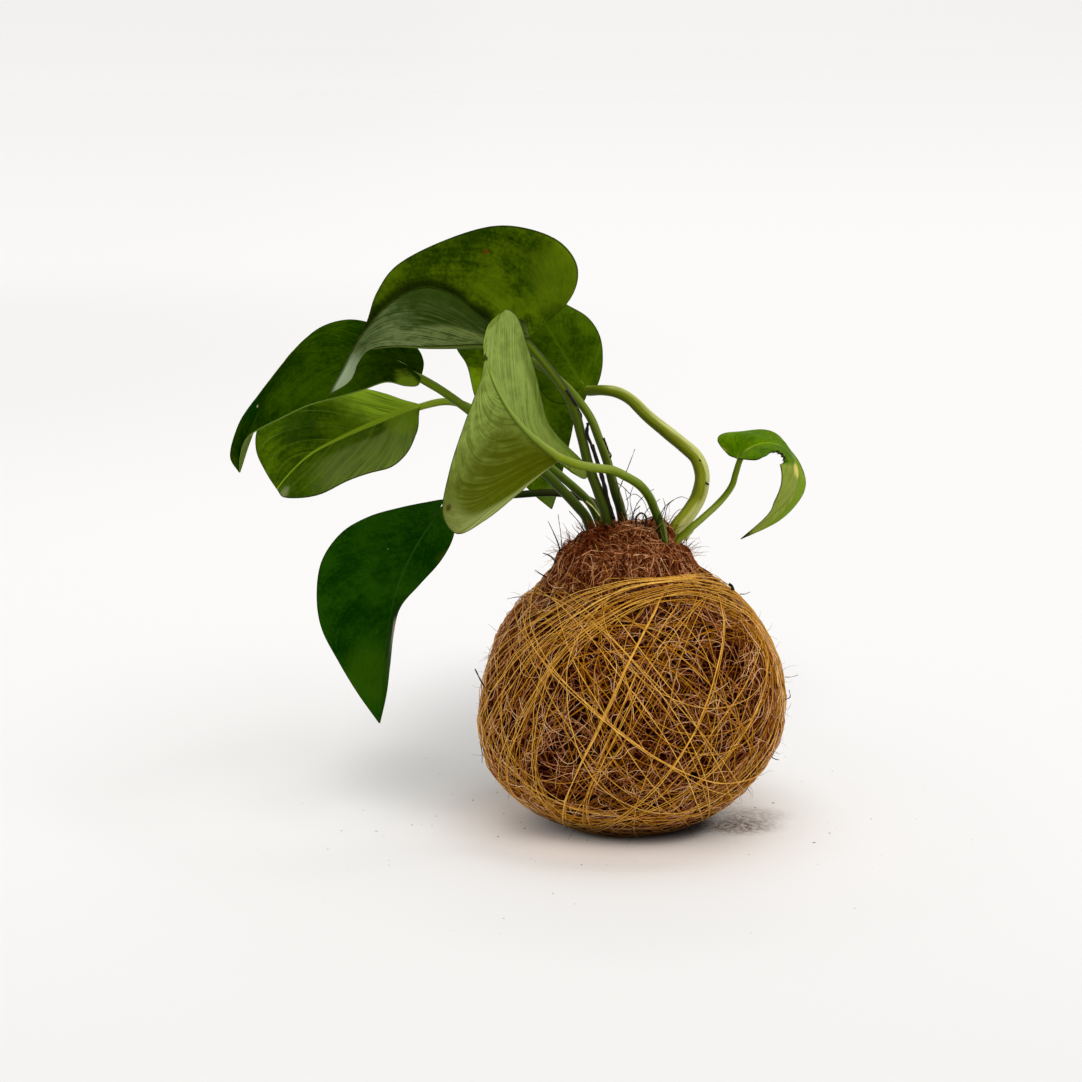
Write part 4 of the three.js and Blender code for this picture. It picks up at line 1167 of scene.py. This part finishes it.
def thread_finish():
    """The finish of the thread: ochre, each turn a little lighter or darker, with a fine twist."""
    f = Finish("ochre_thread")
    fleck = f.noise(f.place(), 500, 2, 0.6)
    tone = f.plus(f.tag("tone"), f.about(fleck, 0.7))
    stops = [(0.0, paint(98, 48, 0)), (0.5, paint(192, 127, 12)), (1.0, paint(250, 198, 96))]
    return f.done(painted_foot_shade(f, f.ramp(tone, stops)), 0.55, f.bump(fleck, 0.08, 0.4), Specular_IOR_Level=0.15,
                  Specular_Tint=(1, 0.75, 0.35, 1))


def sheath_finish():
    """The finish of a fresh sheath: cream to pale green, with darker streaks."""
    f = Finish("pale_sheath")
    fleck = f.noise(f.place(), 300, 3, 0.6)
    stops = [(0.3, paint(120, 126, 40)), (0.5, paint(198, 196, 120)), (0.8, paint(232, 226, 168))]
    return f.done(f.ramp(fleck, stops), 0.5, f.bump(fleck, 0.2, 0.5), Specular_IOR_Level=0.15)


def dry_finish():
    """The finish of dried sheaths and old roots: near black, with a few brown flecks."""
    f = Finish("dried_sheath")
    fleck = f.noise(f.place(), 400, 3, 0.7)
    stops = [(0.0, paint(8, 7, 5)), (0.6, paint(26, 20, 12)), (1.0, paint(84, 62, 36))]
    return f.done(f.ramp(fleck, stops), 0.7, f.bump(fleck, 0.2, 0.7), Specular_IOR_Level=0.15)


COIR = coir_finish()
MAT = mat_finish()
SOIL = soil_finish()
THREAD = thread_finish()
DRY = dry_finish()
SHEATH = sheath_finish()

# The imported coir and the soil: points up and round them, how far they stay behind the loose fibres,
# and the height, size and seed of their clumps
MAT_ROWS = 170
MAT_COLUMNS = 280
MAT_BACK = 1.9
CLUMPS = [(0.45, 9, 5), (0.3, 4, 6), (0.2, 2.2, 7)]

# The thread: its least and greatest radius, the points of a turn, and the angle to the upright
# within which it keeps clear of the stems
THREAD_RADII = (0.11, 0.17)
THREAD_STEPS = 140
THREAD_CLEAR = 26.5

# The net of thread all over the ball: the number of bundles, their tilts, the angles of their turns
# to the axis, the numbers that their turns are drawn between, and how far the turns of a bundle
# differ, with all angles in degrees
NET = (28, (35, 75), (84, 96), (1, 4), 3)

# Threads that stand out in the photograph, each by three places along it in the photograph's
# pixels, and how many turns run side by side there
SEEN_THREADS = [
    ((664, 590), (601, 716), (569, 806), 4), ((689, 592), (620, 700), (590, 802), 2),
    ((692, 602), (656, 674), (634, 720), 1), ((706, 590), (685, 643), (660, 720), 1),
    ((511, 648), (543, 704), (582, 756), 1), ((520, 628), (546, 665), (599, 716), 1),
    ((572, 656), (606, 700), (650, 760), 1), ((585, 635), (630, 692), (684, 770), 1),
    ((598, 631), (640, 680), (711, 807), 2), ((641, 630), (681, 659), (729, 713), 2),
    ((625, 655), (661, 690), (702, 741), 1), ((661, 680), (702, 741), (729, 786), 1),
    ((572, 696), (631, 741), (712, 780), 2), ((746, 680), (705, 744), (647, 810), 1),
    ((763, 680), (735, 741), (647, 812), 2), ((708, 689), (681, 749), (660, 783), 2),
    ((714, 667), (728, 712), (735, 760), 1), ((590, 690), (640, 770), (700, 815), 1),
    ((627, 698), (605, 754), (592, 800), 2), ((540, 690), (600, 770), (660, 806), 1),
]

# Bands of thread, each by the three places along its first turn and its last, the number of turns
# between them, and how much further out they lie than the others
BANDS = [
    (((505, 628), (592, 590), (697, 567)), ((545, 712), (598, 631), (690, 602)), 24, 0.45),
    (((512, 640), (496, 700), (506, 760)), ((560, 690), (534, 748), (542, 792)), 7, 0.0),
    (((600, 588), (704, 575), (765, 635)), ((625, 612), (705, 604), (758, 645)), 12, 0.2),
    (((723, 605), (714, 667), (700, 705)), ((770, 645), (768, 700), (748, 745)), 8, 0.0),
    (((535, 782), (630, 820), (748, 776)), ((560, 812), (650, 828), (715, 812)), 6, 0.0),
]

# How far single threads and those of a band stray from their places, in pixels
SEEN_SPREAD = 1.3
BAND_SPREAD = 3.5

# Single threads on the neck, by three places along each, in the same pixels
NECK_STRANDS = [
    ((588, 541), (606, 559), (621, 577)), ((684, 546), (679, 557), (673, 569)),
    ((641, 524), (668, 542), (691, 564)), ((560, 570), (590, 583), (640, 574)),
]

# The hollow at the neck, where the fibres get painted shade: where the photograph shows it, and its
# width as seen from the centre
SHADED_HOLLOW_SEEN = (606, 541)
SHADED_HOLLOW_WIDTH = 0.07

# Dried sheaths between the stems, one of them going on as painted shadow, thin roots and stiff hairs,
# and pale sheaths at the foot of the stems: places along each in the photograph's pixels, how far
# behind the ball's middle it lies, and its first and last radius
DRIED_AND_SHADOW = [
    ([(588, 423), (587, 434), (592, 446)], -4, 0.7, 0.6),
    # a dark strand down the shaded right side of the top leaf's petiole: painted shadow below the dried
    # sheath
    ([(592, 445), (602, 477), (608, 500), (614, 519)], -4, 0.9, 0.7),
    ([(603.5, 438), (606, 444), (609, 452)], 1, 0.5, 0.3),
    ([(566, 390), (572, 399), (577, 406)], -4, 0.5, 0.5),
    ([(609, 452), (611, 455), (610, 458)], -1, 0.3, 0.3),
    ([(578, 409), (581, 413), (582, 418)], -4, 0.35, 0.2),
    ([(705.5, 482.5), (707.5, 484), (709, 484.6)], 3, 0.38, 0.3),
    ([(699, 460), (700, 460.5), (701, 461)], 1.5, 0.35, 0.3),
]
THIN_ROOTS = [
    ([(622, 522), (628, 506), (625, 490)], -7, 0.2, 0.1),
    ([(631, 524), (636, 506), (645, 495), (654, 489)], -6, 0.22, 0.1),
    ([(641, 524), (647, 510), (660, 499)], -6, 0.2, 0.1),
    ([(650, 525), (656, 508), (652, 493)], -4, 0.2, 0.1),
    ([(627, 520), (620, 507), (618, 488), (612, 480)], -6, 0.2, 0.1),
    ([(634, 520), (630, 498), (635, 482)], -6, 0.18, 0.08),
    ([(637, 527), (636, 518), (641, 513), (646, 517), (645, 527)], -10, 0.42, 0.4),
    ([(664, 522), (668, 505), (680, 497), (688, 499)], -12, 0.2, 0.1),
    ([(661, 520), (665, 507), (663, 498)], -12, 0.18, 0.1),
    ([(668, 524), (676, 512), (684, 508)], -12, 0.18, 0.08),
    ([(618, 492), (627, 470), (635, 449)], -4, 0.2, 0.12),
    ([(616, 482), (623, 487), (630, 494)], -6, 0.2, 0.15),
    ([(640, 506), (634, 512), (630, 522)], -6, 0.2, 0.1),
    ([(626, 500), (634, 494), (643, 500), (648, 512)], -5, 0.16, 0.1),
    ([(657, 524), (664, 508), (673, 500)], -12, 0.2, 0.1),
    ([(562, 556), (557, 540), (548, 521)], -6, 0.24, 0.12),
    ([(560, 553), (558, 544), (551, 527)], -8, 0.24, 0.12),
    ([(562, 552), (561, 536), (558, 514)], -5, 0.2, 0.1),
    ([(585, 532), (578, 521), (569, 511)], -6, 0.22, 0.12),
    ([(567, 550), (570, 540), (566, 531)], -7, 0.2, 0.1),
    ([(574, 546), (577, 536), (584, 530)], -7, 0.2, 0.1),
    ([(557, 563), (550, 556), (543, 553)], -8, 0.3, 0.2),
    ([(546, 577), (541, 574), (535, 570)], -8, 0.26, 0.12),
    ([(526, 597), (517, 597), (507, 599)], -10, 0.2, 0.1),
    ([(485, 688), (480, 679), (475, 669)], -10, 0.3, 0.22),
    ([(740, 594), (745, 594), (750, 592)], -6, 0.2, 0.1),
    ([(729, 584), (732, 586), (733, 590)], -6, 0.7, 0.5),
    ([(785, 677), (791, 677), (798, 675)], -6, 0.16, 0.08),
    ([(784, 700), (790, 697), (789, 690)], -6, 0.2, 0.12),
    ([(768, 752), (773, 758), (779, 760)], -8, 0.24, 0.14),
    ([(480, 742), (482, 752), (482, 763)], -12, 0.16, 0.1),
]
PALE_SHEATHS = [
    ([(684, 539), (690, 532), (697, 523), (705, 513)], -2.5, 1.3, 0.4),
    ([(586, 501), (593, 507), (600, 516)], -7, 0.3, 0.2),
]

# Points of a hair and of a strand
HAIR_STEPS = 9
STRAND_STEPS = 16

# The tuft between the stems: its foot, how widely its hairs start, and how far below lies the point
# that they spread from
TUFT_FOOT = np.array([-11.0, -2.0, 107.5])
TUFT_SPREAD = (2.6, 1.8, 0.6)
TUFT_DEPTH = 8.5


def turned(name, section, finish, slot, replaces):
    """A closed skin from half a section that is carried round the upright axis. Its radius gets the
    ball's swell and clumps of random waves, and its height the lean. The foot stays flat."""
    rows = len(section)
    angle = 2 * np.pi * np.arange(MAT_COLUMNS) / MAT_COLUMNS
    radius = section[:, 0][:, None]
    z = np.broadcast_to(section[:, 1][:, None], (rows, MAT_COLUMNS))
    place = np.stack([radius * np.cos(angle), radius * np.sin(angle), z], -1)
    clumps = sum(height * ripple(place, size, seed, 12) for height, size, seed in CLUMPS)
    grow = 1 + (swell(angle, z) + (clumps - MAT_BACK) * eased(1, 6, z)) / np.maximum(radius, 6)
    x, y = radius * np.cos(angle) * grow, radius * np.sin(angle) * grow
    points = np.stack([x + sideways(z), y, z + lean(x, y, z)], -1).reshape(-1, 3)
    number = np.arange(rows * MAT_COLUMNS).reshape(rows, MAT_COLUMNS)
    caps = np.stack([number[0, ::-1], number[-1]])
    put(name, points, [grid_faces(rows, MAT_COLUMNS, around=True), caps], finish, slot, [replaces])


def coir_and_soil():
    """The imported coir, from its foot over the rim and down into the mouth, and the mound of soil in
    the mouth, each as half a section with evenly spaced points."""
    rim = np.argmax(OUTLINE[:, 1] >= RIM_Z)
    outer = OUTLINE[: rim + 1]
    chord = np.concatenate([[0], np.cumsum(np.linalg.norm(np.diff(outer, axis=0), axis=1))])
    even = np.linspace(0.002, 1, MAT_ROWS) * chord[-1]
    outer = np.stack([np.interp(even, chord, outer[:, k]) for k in (0, 1)], -1)
    inner = curve([(MOUTH_RADIUS + 0.6, RIM_Z - 0.2), (MOUTH_RADIUS, RIM_Z - 2), (MOUTH_RADIUS, NECK_Z)],
                  np.linspace(0, 1, 8))
    turned("coir_mat", np.concatenate([outer, inner, [[0.1, NECK_Z]]]), MAT, "coir", "coir_wrap")
    edge = MOUTH_RADIUS - SOIL_GAP
    wall = curve([(edge, NECK_Z + 0.5), (edge, NECK_Z + 4), (edge, RIM_Z - 1)], np.linspace(0, 1, 8))
    mound = curve([(edge, RIM_Z - 0.7), *MOUND[:-1], (0.1, MOUND[-1][1])], np.linspace(0, 1, 40))
    turned("soil_mound", np.concatenate([[[0.1, NECK_Z + 0.5]], wall, mound]), SOIL, "soil", "soil_core")


def clear_of_neck(way):
    """Directions, kept away from the neck: the angle to the upright is raised to a soft maximum of
    itself and the angle at which the thread stays clear of the stems."""
    slope = np.arctan2(np.hypot(way[..., 0], way[..., 1]), way[..., 2])
    clear = (slope**8 + math.radians(THREAD_CLEAR) ** 8) ** 0.125
    clear = np.minimum(clear, math.pi)
    flat = unit(way * (1, 1, 0))
    return flat * np.sin(clear)[..., None] + np.array([0, 0, 1]) * np.cos(clear)[..., None]


def turns_of_thread(name, seed, places, stands, radius, tones, lift=0.0):
    """Closed turns of thread, each through three directions from the ball's centre. Its own
    directions keep a constant angle to the axis that is square to the plane of the three. It
    wanders a little from that circle, bends round the neck, and lies close to the ball's surface,
    over some fibres and under others. The lift raises it where it nears the neck."""
    rng = np.random.default_rng(seed)
    first, middle, last = places[:, 0], places[:, 1], places[:, 2]
    count = len(places)
    axis = unit(np.cross(middle - first, last - middle))
    level = np.sum(axis * first, -1, keepdims=True)
    side = unit(first - axis * level)
    other = np.cross(axis, side)
    turn = 2 * np.pi * np.arange(THREAD_STEPS)[:, None] / THREAD_STEPS
    wide = np.sqrt(1 - level**2)[:, None]
    ring = side[:, None] * np.cos(turn) + other[:, None] * np.sin(turn)
    way = axis[:, None] * level[:, None] + wide * ring
    own = way * MEAN_RADIUS + rng.uniform(0, 900, (count, 1, 3))
    way = clear_of_neck(unit(way + axis[:, None] * (ripple(own, 60, seed) * 0.01)[..., None]))
    stand = rng.uniform(*stands, (count, 1)) + 0.25 * ripple(own, 14, seed + 1)
    centres = skin(way, stand + lift * eased(80, 90, skin(way)[..., 2]))
    thick = np.repeat(rng.uniform(*radius, (count, 1)), THREAD_STEPS, 1)
    centres[..., 2] = np.maximum(centres[..., 2], thick + 0.02)
    points, faces = tubes(centres, thick, 4, way, closed=True)
    tone = np.repeat(rng.uniform(*tones, count), THREAD_STEPS * 4)
    return put(name, points, faces, THREAD, "thread", tags={"tone": tone})


def bundles(rng, count, tilts, angles, size, spread):
    """Bundles of turns that run side by side, each turn by three directions of its circle: each
    bundle draws a tilt, a heading and an angle from its axis, and its turns differ from it by a few
    degrees."""
    size = rng.integers(*size, count)
    drawn = (rng.uniform(*tilts, count), rng.uniform(0, 360, count), rng.uniform(*angles, count))
    own = [np.radians(np.repeat(v, size) + rng.normal(0, spread, size.sum())) for v in drawn]
    tilt, heading, angle = (v[:, None, None] for v in own)
    turn = np.array([0, 2.1, 4.2])[:, None]
    axis = np.concatenate([np.sin(tilt) * np.cos(heading), np.sin(tilt) * np.sin(heading), np.cos(tilt)], -1)
    side = np.concatenate([-np.sin(heading), np.cos(heading), 0 * heading], -1)
    ring = side * np.cos(turn) + np.cross(axis, side) * np.sin(turn)
    return axis * np.cos(angle) + ring * np.sin(angle)


def winding():
    """The thread: a net of turns that cross all over the ball, the turns that stand out in the
    photograph, and its bands, whose turns are spread evenly between the first and the last."""
    rng = np.random.default_rng(8)
    net = turns_of_thread("thread_net", 81, bundles(rng, *NET), (-0.9, -0.1), THREAD_RADII, (0.0, 0.6))
    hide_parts("thread_winding")
    seen = np.repeat([t[:3] for t in SEEN_THREADS], [t[3] for t in SEEN_THREADS], 0)
    seen = ways_seen(seen + rng.normal(0, SEEN_SPREAD, seen.shape))
    turns_of_thread("thread_seen", 82, seen, (0.1, 0.6), (0.14, 0.18), (0.45, 0.95))
    for k, (first, last, count, out) in enumerate(BANDS):
        share = (np.arange(count) + rng.uniform(0, 1, count))[:, None, None] / count
        band = mixed(np.array(first), np.array(last), share) + rng.normal(0, BAND_SPREAD, (count, 3, 2))
        stands = (out - 0.3, out + 0.45)
        tones = (0.15 + 0.6 * out, 0.95)
        turns_of_thread("thread_band_" + str(k), 90 + k, ways_seen(band), stands, THREAD_RADII, tones,
                        lift=2 * out)


def neck_strands():
    """Single threads across the neck, each the curve through three seen places. Their ends turn down
    into the coir."""
    share = np.linspace(-0.15, 1.15, 14)
    paths = np.stack([curve(ways_seen(places), share) for places in NECK_STRANDS])
    centres = skin(paths, 0.7 - 1.6 * np.abs(share - 0.5)[None] ** 2)
    points, faces = tubes(centres, THREAD_RADII[0], 4, unit(paths))
    put("neck_strands", points, faces, THREAD, "thread", tags={"tone": np.full(len(points), 0.75)})


def hairs(name, starts, ways, seed, lengths, radius, curl, tones):
    """Loose hairs that stand up from given points. Each runs along its own direction, and leaves it
    sideways by a spiral that widens along the hair."""
    rng = np.random.default_rng(seed)
    count = len(starts)
    ahead = unit(ways)
    aside, other = headings(rng, ahead)
    run = np.linspace(0, 1, HAIR_STEPS)[None, :, None]
    length = rng.uniform(*lengths, (count, 1, 1))
    twist = rng.uniform(-curl, curl, (count, 1, 1)) * run
    wide = rng.uniform(0.1, 0.45, (count, 1, 1)) * run**1.5
    spiral = aside[:, None] * wide * np.cos(twist) + other[:, None] * wide * np.sin(twist)
    centres = starts[:, None] + (ahead[:, None] * run + spiral) * length
    thick = rng.uniform(*radius, (count, 1)) * (1 - 0.75 * run[..., 0])
    centres[..., 2] = np.maximum(centres[..., 2], thick + 0.02)
    points, faces = tubes(centres, thick, 3, aside[:, None] + 0 * centres)
    tone = np.repeat(rng.uniform(*tones, count), HAIR_STEPS * 3)
    put(name, points, faces, COIR, "coir", tags={"tone": tone})


def places_seen(pixels, y):
    """Points at the given pixels of the photograph, in the upright plane at y: each is where the
    pixel's ray meets it."""
    ray = rays_seen(pixels)
    return EYE + ray * ((y - EYE[1]) / ray[:, 1:2])


def strands(name, table, finish, slot):
    """Single strands, each the curve through places read from the photograph, thinning evenly from
    its first radius to its last."""
    share = np.linspace(0, 1, STRAND_STEPS)
    centres = np.stack([curve(places_seen(places, y), share) for places, y, _, _ in table])
    radii = np.stack([mixed(first, last, share) for _, _, first, last in table])
    radii = radii * (1 + 0.35 * ripple(centres, 2.5, 9))
    facing = np.broadcast_to([0.0, -1.0, 0.1], centres.shape)
    points, faces = tubes(centres, radii, 6, facing)
    put(name, points, faces, finish, slot, tags={"tone": np.full(len(points), 0.5)})


def loose_ends():
    """Hairs that stand off the ball, and the ragged mound where the coir meets the stems."""
    rng = np.random.default_rng(14)
    way = ways_on_ball(rng, 420, 4, 100)
    ahead, _ = headings(rng, way)
    ways = mixed(ahead, way, rng.uniform(0.25, 0.8, (len(way), 1)))
    hairs("ball_hairs", skin(way, -0.5), ways, 15, (2.5, 7), (0.06, 0.12), 5, (0.2, 0.7))
    way = ways_on_ball(rng, 650, 101, 112)
    ahead, _ = headings(rng, way, 0.8)
    ways = mixed(ahead, way, rng.uniform(0.05, 0.55, (len(way), 1)))
    hairs("mound_fibres", skin(way, -1.0), ways, 16, (4, 11), (0.1, 0.2), 3, (0.1, 0.85))


def neck_tuft():
    """A tuft of coir that stands up between the stems, spread like a brush from a point below it."""
    rng = np.random.default_rng(18)
    starts = TUFT_FOOT + rng.normal(0, 1, (90, 3)) * TUFT_SPREAD
    ways = starts - (TUFT_FOOT - (0, 0, TUFT_DEPTH))
    hairs("neck_tuft", starts, ways, 19, (2.5, 6.5), (0.14, 0.24), 2, (0.05, 0.6))


def floor_distance(f, side, depth, centre, flat=1.0):
    """The distance on the floor from a centre, which counts more from front to back by flat."""
    x = f.math("SUBTRACT", side, centre[0] * MM)
    y = f.times(f.math("SUBTRACT", depth, centre[1] * MM), flat)
    return f.node("VectorMath", {0: f.join(x, y, 0.0)}, operation="LENGTH").outputs["Value"]


def floor_glow(f, side, depth):
    """The strength of the glow before the foot, as painted light: an oval ring that fades behind the
    ball and towards the right."""
    oval = floor_distance(f, f.times(side, GLOW_SIDEWAYS), depth, (0, 0))
    return f.times(
        f.rise(oval, *GLOW_IN),
        f.rise(oval, *GLOW_OUT, 1.0, 0.0),
        f.rise(f.math("DIVIDE", depth, oval), -1.0, -0.35, 1.0, 0.35),
        f.rise(side, 0.0, 0.045, FLOOR_GLOW, 0.3 * FLOOR_GLOW),
    )


def floor_finish():
    """A pale seamless floor with painted shade, a little greyer just before the plant, far behind it and
    far to the sides: its tone goes by the place, with painted shadows and paler patches of painted
    light. Near the foot it is warmer with painted bounce light, with a painted contact shadow (a dark
    edge) under the ball, grains of dust that also stand in for part of its shadow, and a faint glow
    in front as painted light for the light that comes in low."""
    f = Finish("studio_floor")
    place = f.place()
    axes = f.node("SeparateXYZ", {0: place}).outputs
    side, depth = axes["X"], axes["Y"]
    from_foot = floor_distance(f, side, depth, (0, 0))
    # painted light: the floor a little paler round the foot
    light = f.rise(from_foot, *PAINTED_LIGHT_RING, 1.0)
    # painted shade: the floor a little darker just before the plant, far behind it and far to the sides
    for axis, start, end, before, after in FLOOR_SHADE_FADES:
        light = f.times(light, f.rise(axes[axis], start, end, before, after))
    # painted shadows and painted light: darker and paler parts of the floor
    for centre, flat, near, far, tone in PAINTED_FLOOR_SHADES:
        away = floor_distance(f, side, depth, centre, flat)
        light = f.times(light, f.rise(away, near * MM, far * MM, tone, 1.0))
    colour = f.mix(1.0, FLOOR_TONE, f.join(light, light, light), "MULTIPLY")
    # painted bounce light: a warmer tone on the floor near the foot
    colour = f.mix(f.rise(from_foot, *PAINTED_BOUNCE_RING, 0.0), colour, PAINTED_BOUNCE_TONE, "MULTIPLY")
    grain = f.rise(f.noise(place, 450, 5, 0.75), 0.36, 0.62, 0.3, 1.0)
    # dust, and by the foot also painted shadow
    for centre, flat, reach, strength in DUST_AND_SHADOW:
        away = floor_distance(f, side, depth, centre, flat)
        near = f.rise(away, 0.2 * reach * MM, reach * MM, strength, 0.0)
        colour = f.mix(f.times(near, grain), colour, paint(96, 64, 36))
    # painted contact shadow: a dark edge on the floor under the ball
    edge, dark_end, light_start = PAINTED_CONTACT_SHADOW
    under = f.rise(floor_distance(f, side, depth, edge), dark_end * MM, light_start * MM, 0.9, 0.0)
    colour = f.mix(under, colour, paint(40, 22, 12))
    # painted light: the floor glows just before the foot
    f.feed(f.surface.inputs["Emission Color"], GLOW_TONE)
    f.feed(f.surface.inputs["Emission Strength"], floor_glow(f, side, depth))
    specks = f.rise(f.noise(place, 300, 1, 0.5), 0.76, 0.785)
    specks = f.times(specks, f.rise(from_foot, 0.06, 0.15, 0.85, 0.0))
    return f.done(f.mix(specks, colour, paint(64, 50, 38)), 0.9, Specular_IOR_Level=0.0)


def studio():
    """A pale floor as a wide dish, whose rings grow wider outwards and rise towards the rim, a large
    soft light that comes from above, a little from the front and the right, and even light all
    round."""
    radius = np.concatenate([np.linspace(0.02, 0.5, 12), np.geomspace(0.7, FLOOR_RADIUS, 24)])[:, None]
    angle = 2 * np.pi * np.arange(FLOOR_CORNERS) / FLOOR_CORNERS
    height = FLOOR_RISE * eased(RISE_START * FLOOR_RADIUS, FLOOR_RADIUS, radius) + 0 * angle
    points = np.stack([radius * np.cos(angle), radius * np.sin(angle), height], -1).reshape(-1, 3)
    mesh = bpy.data.meshes.new("studio_floor")
    rings = grid_faces(len(radius), FLOOR_CORNERS, around=True)[:, ::-1]
    mesh.from_pydata(points.tolist(), [], [list(range(FLOOR_CORNERS)), *rings.tolist()])
    mesh.materials.append(floor_finish())
    floor = bpy.data.objects.new("studio_floor", mesh)
    bpy.context.scene.collection.objects.link(floor)
    lamp = bpy.data.lights.new("softbox", "SUN")
    lamp.angle = math.radians(SUN_SPREAD)
    lamp.energy = SUN_POWER
    holder = bpy.data.objects.new("softbox", lamp)
    x, y, z = SUN_FROM
    holder.rotation_euler = (math.atan2(math.hypot(x, y), z), 0, math.atan2(y, x) + math.pi / 2)
    bpy.context.scene.collection.objects.link(holder)
    world = bpy.data.worlds.new("studio_air")
    bpy.context.scene.world = world
    world.use_nodes = True
    air = world.node_tree.nodes["Background"].inputs
    air["Color"].default_value = AIR_TONE
    air["Strength"].default_value = AIR_LIGHT


def camera():
    """The camera, level from side to side, at the photograph's distance and angle."""
    lens = bpy.data.cameras.new("camera")
    lens.lens = CAMERA_LENS
    lens.sensor_width = CAMERA_SENSOR
    lens.clip_start = 0.01
    lens.clip_end = 3 * FLOOR_RADIUS
    holder = bpy.data.objects.new("camera", lens)
    holder.location = EYE * MM
    holder.rotation_euler = (math.pi / 2 - DOWN, 0, 0)
    bpy.context.scene.collection.objects.link(holder)
    bpy.context.scene.camera = holder
    bpy.context.scene.view_settings.view_transform = "Standard"


camera()
studio()
for leaf_name, leaf_curves in LEAVES.items():
    blade(leaf_name, leaf_curves, LEAF_LOOKS[leaf_name])
for stem_name, stem_curves in STEMS.items():
    stalk(stem_name, stem_curves)
coir_and_soil()
for coir_layer in COIR_LAYERS:
    fibres(*coir_layer)
winding()
neck_strands()
loose_ends()
neck_tuft()
strands("dried_sheaths_and_shadow", DRIED_AND_SHADOW, DRY, "stem")
strands("thin_roots", THIN_ROOTS, DRY, "coir")
strands("pale_sheaths", PALE_SHEATHS, SHEATH, "stem")
